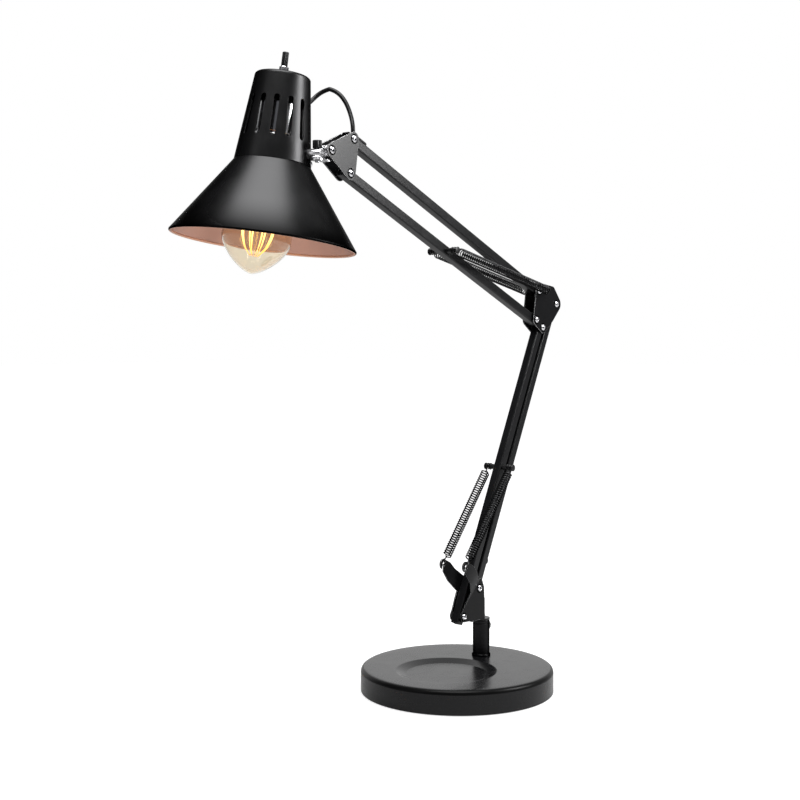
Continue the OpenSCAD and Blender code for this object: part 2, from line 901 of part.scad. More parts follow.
module head_stem() {
    color("#d9dbde") difference() {
        union() {
            in_stem() translate([-stem_tail, 0, 0]) rotate([0, 90, 0])
                cylinder(r1 = stem_r - stem_chamfer, r2 = stem_r, h = stem_chamfer);
            in_stem() translate([stem_chamfer - stem_tail, 0, 0]) rotate([0, 90, 0])
                cylinder(r = stem_r, h = stem_tail - stem_chamfer + stem_face);
            in_stem() rotate([0, 90, 0]) cylinder(r = stem_neck_r, h = stem_face + stem_neck_len);
        }
        translate([v_x, post_y, v_z - 2 * stem_r])
            cylinder(d = swivel_screw_d + 2 * run_gap, h = 4 * stem_r);
    }
}

module stem_nut() {
    color("#b9bcc0") in_stem() translate([stem_face + shade_t + stem_nut_gap, 0, 0])
        rotate([0, 90, 0]) difference() {
            cylinder(d = stem_nut_d, h = stem_nut_t, $fn = 6);
            translate([0, 0, -overrun])
                cylinder(r = stem_neck_r + fixed_gap, h = stem_nut_t + 2 * overrun);
        }
}

// Shade

module shade_cone() {
    r = shade_d / 2;
    slant = atan((r - cone_top_r) / (cone_h - rim_r));
    wall = shade_t / cos(slant);
    color("#1a1a1c") in_shade() difference() {
        union() {
            rotate_extrude() polygon([
                [r, rim_r], [cone_top_r, cone_h], [cone_top_r - wall, cone_h], [r - wall, rim_r]
            ]);
            rotate_extrude() translate([r - rim_r, rim_r]) circle(r = rim_r);
            rotate_extrude() polygon([
                [cone_top_r, cone_h - shade_t], [cone_top_r, cone_h],
                [collar_r, cone_h], [collar_r, cone_h + collar_up],
                [collar_r - shade_t, cone_h + collar_up], [collar_r - shade_t, cone_h - shade_t]
            ]);
        }
        translate([-r, -collar_notch / 2, cone_h]) cube([r, collar_notch, collar_up + overrun]);
        neck_screw_places() rotate([0, -90, 0])
            cylinder(d = neck_screw_d + 2 * fixed_gap, h = 2 * neck_screw_len, center = true);
    }
}

// Puts children at each screw through the neck's lower edge, with +X pointing out
module neck_screw_places() {
    for (a = neck_screw_angles) rotate([0, 0, a])
        translate([neck_r(cone_h + screw_up), 0, cone_h + screw_up]) children();
}

module neck_screws() {
    color("#c9ccd0") in_shade() neck_screw_places() {
        rotate([0, -90, 0]) translate([0, 0, -loose_gap])
            cylinder(d = neck_screw_d, h = neck_screw_len);
        rotate([0, 90, 0]) translate([0, 0, loose_gap])
            cylinder(d = neck_screw_head_d, h = neck_screw_head_h);
    }
}

module shade_neck() {
    color("#1a1a1c") in_shade() difference() {
        union() {
            translate([0, 0, cone_h])
                cylinder(d1 = neck_low_d, d2 = neck_top_d, h = neck_side_h);
            translate([0, 0, cone_h + neck_side_h])
                rotate_extrude() translate([neck_top_d / 2 - neck_round_r, 0])
                    circle(r = neck_round_r);
            translate([0, 0, cone_h + neck_side_h])
                cylinder(r = neck_top_d / 2 - neck_round_r, h = neck_round_r);
        }
        translate([0, 0, cone_h - overrun])
            cylinder(r1 = neck_r(cone_h - overrun) - shade_t, r2 = neck_top_d / 2 - shade_t,
                h = neck_side_h + overrun);
        translate([0, 0, cone_h + neck_side_h - overrun])
            cylinder(r = neck_top_d / 2 - neck_round_r, h = neck_round_r - shade_t + overrun);
        cylinder(d = switch_tube_d + 2 * fixed_gap, h = 2 * neck_top);
        for (i = [0 : vent_count - 1]) rotate([0, 0, 360 / vent_count * i + vent_turn])
            translate([0, 0, neck_top - vent_drop - vent_len]) vent_cut();
        translate([0, 0, stem_up]) rotate([0, head_lean, 0]) rotate([0, -90, 0])
            cylinder(r = stem_neck_r + fixed_gap, h = neck_low_d);
        neck_screw_places() rotate([0, -90, 0])
            cylinder(d = neck_screw_d + 2 * fixed_gap, h = 2 * neck_screw_len, center = true);
        rotate([0, 0, gland_turn]) translate([0, 0, gland_up]) rotate([0, 90, 0])
            cylinder(d = gland_d + 2 * fixed_gap, h = neck_low_d);
    }
}

// One upright vent, cut outwards along +X
module vent_cut() {
    translate([0, 0, vent_w / 2]) rotate([0, 90, 0]) cylinder(d = vent_w, h = neck_low_d);
    translate([0, 0, vent_len - vent_w / 2]) rotate([0, 90, 0]) cylinder(d = vent_w, h = neck_low_d);
    translate([0, -vent_w / 2, vent_w / 2]) cube([neck_low_d, vent_w, vent_len - vent_w]);
}

// Switch

module switch_housing() {
    top = neck_top - shade_t;
    color("#e8e6df") in_shade() difference() {
        union() {
            translate([0, 0, lamp_seat_up]) cylinder(d = switch_body_d, h = switch_body_h);
            translate([0, 0, top]) cylinder(d = switch_tube_d, h = shade_t + switch_tube_h);
        }
        translate([0, 0, neck_top + switch_nut_h - switch_shaft_in])
            cylinder(d = switch_shaft_d + 2 * run_gap, h = 2 * switch_shaft_in);
    }
}

module switch_nut() {
    color("#c9ccd0") in_shade() translate([0, 0, neck_top])
        washer(switch_nut_d, switch_tube_d + 2 * fixed_gap, switch_nut_h);
}

module switch_knob() {
    from = neck_top + switch_nut_h + side_gap;
    color("#111113") in_shade() {
        difference() {
            translate([0, 0, from]) cylinder(d = switch_knob_d, h = switch_knob_h);
            for (i = [0 : knob_rib_count - 1]) rotate([0, 0, 360 / knob_rib_count * i])
                translate([switch_knob_d / 2 + rib_r / 2, 0, from - overrun])
                    cylinder(r = rib_r, h = switch_knob_h + 2 * overrun);
        }
        translate([0, 0, from - switch_shaft_in + loose_gap])
            cylinder(d = switch_shaft_d, h = switch_shaft_in);
    }
}

// Lamp holder and bulb

// Moves children to the holder's seat under the switch, with the bulb hanging along -Z
module in_lamp() {
    in_shade() translate([0, 0, lamp_seat_up]) rotate([0, 0, lamp_lean_to])
        rotate([0, -lamp_lean, 0]) rotate([0, 0, -lamp_lean_to]) children();
}

module lamp_holder() {
    color("#eceae4") in_lamp() difference() {
        union() {
            translate([0, 0, holder_mouth_z]) cylinder(d = holder_d, h = holder_h);
            translate([0, 0, -holder_drop]) cylinder(d = nipple_d, h = nipple_h);
        }
        translate([0, 0, holder_mouth_z - overrun])
            cylinder(d = shell_d + 2 * fixed_gap, h = holder_h - holder_roof + overrun);
    }
}

module thread_shell() {
    color("#c8a95c") in_lamp() translate([0, 0, -holder_drop - holder_roof - shell_h - side_gap])
        washer(shell_d, shell_d - 2 * shell_t, shell_h);
}

module centre_contact() {
    roof = -holder_drop - holder_roof;
    color("#c8a95c") in_lamp() translate([0, 0, -contact_drop])
        cylinder(d = contact_d, h = roof + contact_drop);
}

module bulb_cap() {
    color("#cfc9b8") in_lamp() {
        difference() {
            translate([0, 0, cap_top_z - cap_h]) cylinder(d = cap_d, h = cap_h);
            translate([0, 0, cap_top_z - cap_h - overrun])
                cylinder(d = cap_d - 2 * cap_t, h = cap_h - cap_t + overrun);
        }
        translate([0, 0, cap_top_z]) cylinder(d1 = cap_d / 2, d2 = cap_tip_d, h = cap_tip_h);
    }
}

// Radius of the bulb's glass at a share of the way from the globe's middle to its neck
function bulb_side(share) =
    glass_neck_r + (bulb_d / 2 - glass_neck_r) * pow((1 + cos(180 * share)) / 2, glass_side_power);

// Half outline of the glass, drawn in by an inset, from the tip up to the neck
function glass_outline(inset) =
    let (r = bulb_d / 2 - inset, h = bulb_tip_h - inset)
    let (mid = -bulb_reach + bulb_tip_h, neck = cap_top_z - cap_h)
    concat(
        [for (i = [0 : glass_steps]) let (a = 90 * i / glass_steps)
            [r * pow(sin(a), glass_tip_power), mid - h * pow(cos(a), glass_tip_power)]],
        [for (i = [1 : glass_steps])
            [bulb_side(i / glass_steps) - inset, mid + (neck - mid) * i / glass_steps]],
        [[glass_neck_r - inset, neck + glass_in_cap], [0, neck + glass_in_cap]]
    );

module bulb_glass() {
    color("#e0a24a", 0.4) in_lamp() difference() {
        rotate_extrude() polygon(glass_outline(0));
        rotate_extrude() polygon(glass_outline(glass_t));
        translate([0, 0, cap_top_z - cap_h + glass_in_cap - glass_t])
            cylinder(r = glass_neck_r - glass_t, h = 2 * glass_t);
    }
}

module bulb_mount() {
    top = cap_top_z - cap_h + glass_in_cap;
    bottom = -bulb_reach + filament_up;
    color("#d8d2c4") in_lamp() {
        translate([0, 0, top - mount_len])
            cylinder(r1 = mount_tip_r, r2 = mount_r, h = mount_len + glass_t);
        translate([0, 0, top]) cylinder(r = glass_neck_r, h = glass_t);
        translate([0, 0, bottom - arm_r]) cylinder(r = mount_rod_r, h = top - bottom);
        for (i = [0 : filament_count - 1]) rotate([0, 0, 360 / filament_count * i]) {
            translate([0, 0, filament_top_z]) rotate([0, 90, 0])
                cylinder(r = arm_r, h = filament_top_r - filament_r);
            translate([0, 0, bottom]) rotate([0, 90, 0])
                cylinder(r = arm_r, h = filament_low_r - filament_r);
        }
    }
}

module bulb_filaments() {
    lean = atan((filament_low_r - filament_top_r) / filament_len);
    color("#ffb347") in_lamp() for (i = [0 : filament_count - 1])
        rotate([0, 0, 360 / filament_count * i])
            translate([filament_top_r + loose_gap, 0, filament_top_z]) rotate([0, 180 - lean, 0])
                cylinder(r = filament_r, h = filament_len / cos(lean));
}

// Gland in the neck for the head cord
module neck_gland() {
    wall_at = neck_r(gland_up);
    color("#0e0e10") in_shade() rotate([0, 0, gland_turn]) translate([wall_at, 0, gland_up])
        rotate([0, 90, 0]) difference() {
            union() {
                translate([0, 0, -gland_in])
                    cylinder(d = gland_d, h = gland_in + gland_lip_gap + gland_lip_t);
                translate([0, 0, gland_lip_gap]) cylinder(d = gland_lip_d, h = gland_lip_t);
            }
            translate([0, 0, -gland_in - overrun])
                cylinder(d = cord_d + 2 * side_gap, h = gland_in + 2 * gland_lip_t + 2 * overrun);
        }
}

// Swept tubes: springs and the head cord

// Unit vector
function unit(v) = v / norm(v);

// Direction of a path at one of its points
function heading(path, i) =
    unit(path[min(i + 1, len(path) - 1)] - path[max(i - 1, 0)]);

// Ring of points round a path's point; ref fixes which side the first point is on
function tube_ring(path, i, ref, r, sides) =
    let (t = heading(path, i), n = unit(ref - (ref * t) * t), b = cross(t, n))
    [for (k = [0 : sides - 1]) path[i] + r * (cos(360 * k / sides) * n + sin(360 * k / sides) * b)];

// Closed tube of triangles along the rings from one index to another
module swept_tube(path, refs, r, sides, from, to) {
    count = to - from + 1;
    points = [for (i = [from : to]) each tube_ring(path, i, refs[i], r, sides)];
    walls = [for (i = [0 : count - 2], k = [0 : sides - 1])
        let (a = i * sides + k, b = i * sides + (k + 1) % sides)
            each [[a, a + sides, b + sides], [a, b + sides, b]]];
    first = [for (k = [1 : sides - 2]) [0, k, k + 1]];
    base = (count - 1) * sides;
    last = [for (k = [1 : sides - 2]) [base, base + k + 1, base + k]];
    polyhedron(points = points, faces = concat(first, walls, last));
}

turn_steps = 8;
wire_sides = 6;
spring_r = (spring_d - wire_d) / 2;
spring_lead = 3.2;
hook_bend = 1.5;
pin_neck = pin_d / 2 + loose_gap;

// How much of its full radius the spring has at a step from one of its ends
function opened(i) = pow(sin(90 * min(1, i / (turn_steps / 2))), 2);

// Curled part of a spring along +X
function curls(from, to) =
    let (steps = spring_curls * turn_steps)
    [for (i = [0 : steps])
        let (r = spring_r * opened(min(i, steps - i)), a = 90 + 360 * i / turn_steps)
            [from + (to - from) * i / steps, r * cos(a), r * sin(a)]];

// The side of the wire that each ring's first point is on
function curl_refs() =
    [for (i = [0 : spring_curls * turn_steps])
        let (a = 90 + 360 * i / turn_steps) [0, cos(a), sin(a)]];

// Least distance between two stretches of wire that are half a curl or more apart
function least_gap(path) =
    min([for (i = [0 : len(path) - 2], j = [i + turn_steps / 2 : min(i + 2 * turn_steps, len(path) - 1)])
        if (j < len(path)) norm(path[i] - path[j])]) - wire_d;

up = [0, 0, 1];

// Lower spring: from its pin to the edge of the bracket's hook
function lower_path(length) =
    let (from = pin_neck + spring_lead, to = length - hook_r - loose_gap - spring_lead)
    concat([[pin_neck, 0, 0], [from - wire_d, 0, 0]], curls(from, to),
        [[to + wire_d, 0, 0], [to + spring_lead, 0, 0]]);
function lower_refs() = concat([up, up], curl_refs(), [up, up]);

// Upper spring: from its pin to the hole in the elbow plate, where the wire turns in
function upper_path(length) =
    let (from = pin_neck + spring_lead, to = length - hook_bend - spring_lead)
    let (reach = spring_side - plate_half + sheet_t / 2)
    concat([[pin_neck, 0, 0], [from - wire_d, 0, 0]], curls(from, to),
        [[to + wire_d, 0, 0]],
        [for (a = [0 : 30 : 90])
            [length - hook_bend + hook_bend * sin(a), -hook_bend * (1 - cos(a)), 0]],
        [[length, -reach, 0]]);
function upper_refs() = concat([up, up], curl_refs(), [for (i = [0 : 5]) up]);

lower_pin = p1 + lower_pin_at * [cos(lower_rest), sin(lower_rest)];
lower_hook = p1 + hook_at[0] * [cos(step_angle), sin(step_angle)]
    + hook_at[1] * [-sin(step_angle), cos(step_angle)];
upper_pin = r2 + upper_pin_at * [cos(upper_angle), sin(upper_angle)];
upper_hook = r3 + spring_hole;

// A spring on the far side, from its pin towards its hook
module spring(pin, hook, path, refs) {
    echo(least_gap = least_gap(path));
    at_pivot(pin, atan2(hook[1] - pin[1], hook[0] - pin[0])) translate([0, spring_side, 0])
        swept_tube(path, refs, wire_d / 2, wire_sides, 0, len(path) - 1);
}

module lower_spring() {
    spring(lower_pin, lower_hook, lower_path(norm(lower_hook - lower_pin)), lower_refs());
}

module upper_spring() {
    spring(upper_pin, upper_hook, upper_path(norm(upper_hook - upper_pin)), upper_refs());
}

module lower_spring_near() {
    color("#0c0c0e") near_side() lower_spring();
}

module lower_spring_far() {
    color("#0c0c0e") lower_spring();
}

module upper_spring_near() {
    color("#0c0c0e") near_side() upper_spring();
}

module upper_spring_far() {
    color("#0c0c0e") upper_spring();
}

// One stretch of the head cord
module cord_stretch(from, to) {
    refs = [for (p = cord_route) [0, 1, 0]];
    color("#101012") translate([v_x, post_y, v_z])
        swept_tube(cord_route, refs, cord_d / 2, cord_sides, from, to);
}

module head_cord_shade() {
    cord_stretch(0, cord_apex);
}

module head_cord_mid() {
    cord_stretch(cord_apex, cord_fold);
}

module head_cord_bar() {
    cord_stretch(cord_fold, len(cord_route) - 1);
}

foot_pad();
bottom_plate();
bottom_screws();
ballast();
base_cover();
post();
post_nut();
clamp_screw();
clamp_knob();
bracket_block();
bracket_plate_near();
bracket_plate_far();
bracket_rivets();
lower_front_bar();
lower_front_bushes();
lower_spring_pin();
lower_rear_bar();
lower_rear_bushes();
lead_grommet();
elbow_plate_near();
elbow_plate_far();
elbow_rivets();
upper_low_bar();
upper_low_bushes();
upper_spring_pin();
upper_top_bar();
upper_top_bushes();
cord_grommet();
head_plate_near();
head_plate_far();
head_rivets();
knuckle_strap();
tilt_washers();
swivel_screw();
swivel_knob();
head_stem();
stem_nut();
shade_cone();
shade_neck();
neck_screws();
switch_housing();
switch_nut();
switch_knob();
lamp_holder();
thread_shell();
centre_contact();
bulb_cap();
bulb_glass();
bulb_mount();
bulb_filaments();
neck_gland();
lower_spring_near();
lower_spring_far();
upper_spring_near();
upper_spring_far();
head_cord_shade();
head_cord_mid();
head_cord_bar();
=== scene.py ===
import math

import bmesh
import bpy
import numpy as np
from mathutils import Matrix, Quaternion, Vector
from mathutils.geometry import delaunay_2d_cdt

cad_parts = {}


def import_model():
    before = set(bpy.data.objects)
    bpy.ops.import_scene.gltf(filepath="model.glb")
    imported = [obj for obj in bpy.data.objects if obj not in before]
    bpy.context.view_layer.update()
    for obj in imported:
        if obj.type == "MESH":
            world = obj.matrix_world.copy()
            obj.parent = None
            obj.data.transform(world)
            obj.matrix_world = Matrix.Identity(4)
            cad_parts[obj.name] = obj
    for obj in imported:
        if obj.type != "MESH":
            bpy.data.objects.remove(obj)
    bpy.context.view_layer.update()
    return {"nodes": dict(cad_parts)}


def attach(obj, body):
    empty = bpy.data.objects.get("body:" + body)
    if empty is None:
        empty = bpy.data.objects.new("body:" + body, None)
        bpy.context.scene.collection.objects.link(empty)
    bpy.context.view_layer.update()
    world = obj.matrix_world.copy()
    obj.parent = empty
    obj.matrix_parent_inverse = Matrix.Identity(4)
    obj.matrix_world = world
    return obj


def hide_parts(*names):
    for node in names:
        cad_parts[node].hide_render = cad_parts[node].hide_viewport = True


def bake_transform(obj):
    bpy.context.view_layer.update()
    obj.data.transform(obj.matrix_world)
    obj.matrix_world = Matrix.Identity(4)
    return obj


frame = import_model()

# Sizes and places, in millimetres and degrees as in the CAD; MM turns them into Blender's metres

MM = 0.001

# Base and post
BASE_R = 95.0
BASE_UNDER = 0.8
BASE_TOP = 24.0
BASE_EDGE_R = 5.2
DISH_R = 52.0
DISH_FLOOR = 20.8
DISH_OFFSET = 21.0
POST_OFFSET = 50.5
POST_SIDE = math.radians(8)
POST_X = POST_OFFSET * math.cos(POST_SIDE)
ARM_Y = POST_OFFSET * math.sin(POST_SIDE)
CLAMP_Z = 52.6


def at_angle(start, length, degrees):
    a = math.radians(degrees)
    return (start[0] + length * math.cos(a), start[1] + length * math.sin(a))


def plus(p, q):
    return (p[0] + q[0], p[1] + q[1])


# Pivots in the arm's plane y = ARM_Y: x from the post's axis, and z
BAR_LEN = 320.0
LOWER_REST = 64.2
UPPER_REST = 23.4
UPPER_TURN = 180 - UPPER_REST
LOWER_STEP = (26.0, 25.0)
UPPER_STEP = (4.7, 30.5)
FOOT_FRONT = (-38.2, 70.2)
FOOT_REAR = plus(FOOT_FRONT, LOWER_STEP)
ELBOW_FRONT = at_angle(FOOT_FRONT, BAR_LEN, LOWER_REST)
ELBOW_REAR = plus(ELBOW_FRONT, LOWER_STEP)
ELBOW_LOW = plus(ELBOW_FRONT, (-11.8, 8.1))
ELBOW_TOP = plus(ELBOW_LOW, UPPER_STEP)
HEAD_LOW = at_angle(ELBOW_LOW, BAR_LEN, UPPER_TURN)
HEAD_TOP = plus(HEAD_LOW, UPPER_STEP)
HEAD_TILT = plus(HEAD_LOW, (-24.2, 17.7))
SWIVEL_OUT = 11.5
SWIVEL_DROP = 3.6
SWIVEL = Vector((POST_X + HEAD_TILT[0] - SWIVEL_OUT, ARM_Y, HEAD_TILT[1] - SWIVEL_DROP))

# Ends of the springs: a hook on the bracket's wing, a hole in the elbow's plate, pins on the bars
WING_ALONG = 31.0
WING_UP = 42.3
STEP_ANGLE = math.degrees(math.atan2(LOWER_STEP[1], LOWER_STEP[0]))
WING_HOOK = at_angle(at_angle(FOOT_FRONT, WING_ALONG, STEP_ANGLE), WING_UP, STEP_ANGLE + 90)
ELBOW_HOLE = plus(ELBOW_FRONT, (5.0, 37.4))
LOWER_PIN_AT = 160
UPPER_PIN_AT = 165
LOWER_PIN = at_angle(FOOT_FRONT, LOWER_PIN_AT, LOWER_REST)
UPPER_PIN = at_angle(ELBOW_LOW, UPPER_PIN_AT, UPPER_TURN)


def turn(axis, degrees):
    return Matrix.Rotation(math.radians(degrees), 4, axis)


def shift(x, y, z):
    return Matrix.Translation((x, y, z))


def in_arm(p, degrees=0.0):
    """A place in the arm's plane, with +X turned to run along a bar."""
    return shift(POST_X + p[0], ARM_Y, p[1]) @ turn("Y", -degrees)


# Head: heights are measured along the shade's axis from its rim
RIM_R = 82.5
CONE_H = 70.5
NECK_LOW_R = 34.0
NECK_TOP_R = 24.75
NECK_SIDE_TOP = 145.0
NECK_TOP = 148.0
HALF_ANGLE = math.degrees(math.atan((NECK_LOW_R - NECK_TOP_R) / (NECK_SIDE_TOP - CONE_H)))
LEAN_TRIM = 1.6
STEM_REACH = 42
STEM_R = 4.3
STEM_UP = 77.1
STEM_TURN = 109.3
STEM_ROLL = 5.2
STEM = Matrix.Translation(SWIVEL) @ turn("Z", STEM_TURN) @ turn("X", STEM_ROLL)
SHADE = (STEM @ shift(STEM_REACH, 0, 0) @ turn("Y", LEAN_TRIM - HALF_ANGLE)
         @ shift(0, 0, -STEM_UP))
LAMP_SEAT = 124.0
LAMP_LEAN = 2.9
LAMP_SIDE = 20
LAMP = (SHADE @ shift(0, 0, LAMP_SEAT) @ turn("Z", LAMP_SIDE) @ turn("Y", -LAMP_LEAN)
        @ turn("Z", -LAMP_SIDE))


def neck_r(up):
    """Outer radius of the neck at a height."""
    share = (up - CONE_H) / (NECK_SIDE_TOP - CONE_H)
    return NECK_LOW_R + (NECK_TOP_R - NECK_LOW_R) * share


# Camera at the photograph's viewing angle

def place_camera():
    eye = Vector((-1.03715, -0.78960, 0.35211))
    target = Vector((-0.08734, 0.0, 0.29034))
    roll = -0.0018
    data = bpy.data.cameras.new("photo_camera")
    data.sensor_width = 36
    data.lens = 59.91
    data.clip_end = 50
    camera = bpy.data.objects.new("photo_camera", data)
    bpy.context.scene.collection.objects.link(camera)
    camera.location = eye
    camera.rotation_mode = "QUATERNION"
    aim = (target - eye).to_track_quat("-Z", "Y")
    camera.rotation_quaternion = aim @ Quaternion((0, 0, 1), roll)
    bpy.context.scene.camera = camera


place_camera()
bpy.context.scene.view_settings.view_transform = "Standard"


# Node trees

def add(tree, kind, values=None, **settings):
    """A shader node with settings of its own and values for its sockets."""
    node = tree.nodes.new("ShaderNode" + kind)
    for key, value in settings.items():
        setattr(node, key, value)
    for key, value in (values or {}).items():
        node.inputs[key].default_value = value
    return node


def link(tree, a, b):
    tree.links.new(a, b)


def calculated(tree, operation, a, b):
    """Math on two sockets, or on a socket and a number."""
    node = add(tree, "Math", operation=operation)
    for socket, value in zip(node.inputs, (a, b)):
        if isinstance(value, float):
            socket.default_value = value
        else:
            link(tree, value, socket)
    return node.outputs["Value"]


def mapped(tree, value, low=0.0, high=1.0, to_low=0.0, to_high=1.0, kind="LINEAR"):
    """One range of a value onto another."""
    node = add(tree, "MapRange", {"From Min": low, "From Max": high, "To Min": to_low,
                                  "To Max": to_high}, interpolation_type=kind)
    link(tree, value, node.inputs["Value"])
    return node.outputs["Result"]


def shaded(tree, share, first, second, start=0.0, end=1.0):
    """A colour between two, by a share."""
    node = add(tree, "ValToRGB")
    for element, colour, at in zip(node.color_ramp.elements, (first, second), (start, end)):
        element.position = at
        element.color = (*colour, 1)
    link(tree, share, node.inputs["Fac"])
    return node.outputs["Color"]


def grained(tree, coords, scale, detail):
    node = add(tree, "TexNoise", {"Scale": scale, "Detail": detail})
    link(tree, coords.outputs["Object"], node.inputs["Vector"])
    return node.outputs["Fac"]


def new_material(name):
    mat = bpy.data.materials.new(name)
    mat.use_nodes = True
    return mat, mat.node_tree, mat.node_tree.nodes["Principled BSDF"]


# Materials

def surface(name, colour, rough, metal=0.0, spec=0.5, mottle=0.12, patch=60.0,
            swing=0.05, grain=900.0, bump=0.1, depth=0.00003, rim=None):
    """A painted, moulded or plated surface with uneven colour, roughness and a fine grain.

    rim is the grey of the reflection at a grazing angle, where the plain one is too bright.
    """
    mat, tree, shader = new_material(name)
    shader.inputs["Metallic"].default_value = metal
    shader.inputs["Specular IOR Level"].default_value = spec
    if rim is not None:
        shader.inputs["Specular Tint"].default_value = (rim, rim, rim, 1)
    coords = add(tree, "TexCoord")
    broad = grained(tree, coords, patch, 4)
    fine = grained(tree, coords, grain, 3)
    dark = [c * (1 - mottle) for c in colour]
    light = [min(1, c * (1 + mottle)) for c in colour]
    link(tree, shaded(tree, broad, dark, light, 0.3, 0.7), shader.inputs["Base Color"])
    uneven = mapped(tree, calculated(tree, "ADD", broad, fine), 0.7, 1.3, rough - swing,
                    rough + swing)
    link(tree, uneven, shader.inputs["Roughness"])
    relief = add(tree, "Bump", {"Strength": bump, "Distance": depth})
    link(tree, fine, relief.inputs["Height"])
    link(tree, relief.outputs["Normal"], shader.inputs["Normal"])
    return mat


def glass(name, colour, rough):
    mat = surface(name, colour, rough, mottle=0.03, patch=25.0, swing=0.01, bump=0.05, grain=60.0)
    shader = mat.node_tree.nodes["Principled BSDF"]
    shader.inputs["Transmission Weight"].default_value = 1.0
    shader.inputs["IOR"].default_value = 1.45
    return mat


def glowing(name, low, high, cool, hot, dim, strong):
    """A hot wire that glows brighter from one height to another."""
    mat, tree, shader = new_material(name)
    shader.inputs["Roughness"].default_value = 0.6
    split = add(tree, "SeparateXYZ")
    link(tree, add(tree, "TexCoord").outputs["Object"], split.inputs["Vector"])
    height = mapped(tree, split.outputs["Z"], low, high)
    colour = shaded(tree, height, cool, hot)
    link(tree, mapped(tree, height, to_low=dim, to_high=strong), shader.inputs["Emission Strength"])
    link(tree, colour, shader.inputs["Emission Color"])
    link(tree, colour, shader.inputs["Base Color"])
    return mat


def lamp_height(z):
    """World height, in metres, of a place on the lamp's axis."""
    return (LAMP @ Vector((0, 0, z))).z * MM


SATIN = dict(colour=(0.034, 0.034, 0.0345), rough=0.36, metal=1.0, bump=0.06, grain=1400,
             swing=0.03, mottle=0.04, rim=0.2)
CHROME = dict(metal=1.0, mottle=0.02, swing=0.02, bump=0.0, grain=2500)
M = {
    "satin": surface("satin_black", **SATIN),
    "shade": surface("shade_black_painted_shade", **SATIN),
    "base": surface("base_black", (0.005, 0.005, 0.0055), 0.26, spec=0.28, bump=0.02, grain=1100,
                    swing=0.03),
    # A darker, duller copy of the base's paint for its rounded top edge: painted shade.
    "base_rim": surface("base_edge_shade_black", (0.003, 0.003, 0.003), 0.34, spec=0.1, bump=0.04,
                        grain=1100, swing=0.03),
    "bar": surface("bar_black", (0.005, 0.005, 0.0055), 0.3, spec=0.3, bump=0.03, grain=2600,
                   swing=0.02),
    "plate": surface("plate_black", (0.006, 0.006, 0.0065), 0.32, spec=0.35, bump=0.04, grain=2600,
                     swing=0.02),
    # A darker, less shiny copy of the plates' paint for the bracket's and elbow's plates: painted
    # shade.
    "shaded_plate": surface("shaded_plate_black", (0.005, 0.005, 0.0055), 0.34, spec=0.12, bump=0.04,
                         grain=2600, swing=0.02),
    # A light grey for the bevels of plates and bars: a painted highlight along their edges.
    "edge": surface("painted_edge_highlight", (0.5, 0.5, 0.505), 0.42, metal=0.8, mottle=0.04, swing=0.03,
                    bump=0.02, grain=2600),
    "post": surface("post_black", (0.022, 0.022, 0.0225), 0.26, metal=1.0, bump=0.03, grain=2600,
                    swing=0.02, mottle=0.04, rim=0.15),
    "wire": surface("spring_wire", (0.04, 0.04, 0.041), 0.28, metal=1.0, bump=0.03, grain=2500,
                    mottle=0.04, swing=0.02, rim=0.08),
    "plastic": surface("black_plastic", (0.005, 0.005, 0.0055), 0.38, spec=0.35, bump=0.06,
                       grain=2200),
    "bush": surface("dark_bush", (0.012, 0.012, 0.0125), 0.5, spec=0.3, grain=2200),
    "rubber": surface("black_rubber", (0.008, 0.008, 0.008), 0.7, spec=0.25, bump=0.2, grain=1800),
    "cord": surface("cord_sheath", (0.004, 0.004, 0.0045), 0.36, spec=0.2, bump=0.05, grain=1600),
    # Near-black and dull, for the ring round each rivet's dome and its punch mark: painted shade.
    "seat": surface("rivet_painted_shade", (0.0012, 0.0012, 0.0013), 0.9, spec=0.0, bump=0.02, grain=2600),
    "chrome": surface("chrome", (0.78, 0.78, 0.8), 0.12, **CHROME),
    "plated": surface("soft_chrome", (0.8, 0.8, 0.81), 0.27, **CHROME),
    "zinc": surface("zinc_plate", (0.6, 0.61, 0.63), 0.32, metal=1.0, mottle=0.08, swing=0.06,
                    grain=1500),
    "holder": surface("holder_shell", (0.84, 0.84, 0.85), 0.16, metal=1.0, mottle=0.02,
                      swing=0.03, bump=0.04),
    "copper": surface("copper_lining", (0.66, 0.36, 0.27), 0.34, metal=0.72, mottle=0.04,
                      patch=30, swing=0.04, bump=0.06, grain=1300),
    # A brighter copy of the copper lining for the rolled rim's bead: a painted highlight.
    "bead": surface("copper_bead_highlight", (0.9, 0.5, 0.34), 0.3, metal=0.6, mottle=0.04, swing=0.03,
                    bump=0.02, grain=1300),
    "brass": surface("brass", (0.76, 0.58, 0.28), 0.3, metal=1.0, mottle=0.08),
    "cap": surface("bulb_cap_metal", (0.78, 0.74, 0.62), 0.28, metal=1.0, mottle=0.06),
    "iron": surface("raw_iron", (0.1, 0.1, 0.1), 0.7, metal=0.6, mottle=0.3, bump=0.4,
                    grain=500, depth=0.0002),
    "amber": glass("amber_glass", (0.9, 0.84, 0.72), 0.015),
    "stem_glass": glass("stem_glass", (1.0, 0.95, 0.86), 0.03),
    "glow": glowing("hot_filament", lamp_height(-137), lamp_height(-112), (1.0, 0.4, 0.06),
                    (1.0, 0.74, 0.24), 1.5, 3.6),
}


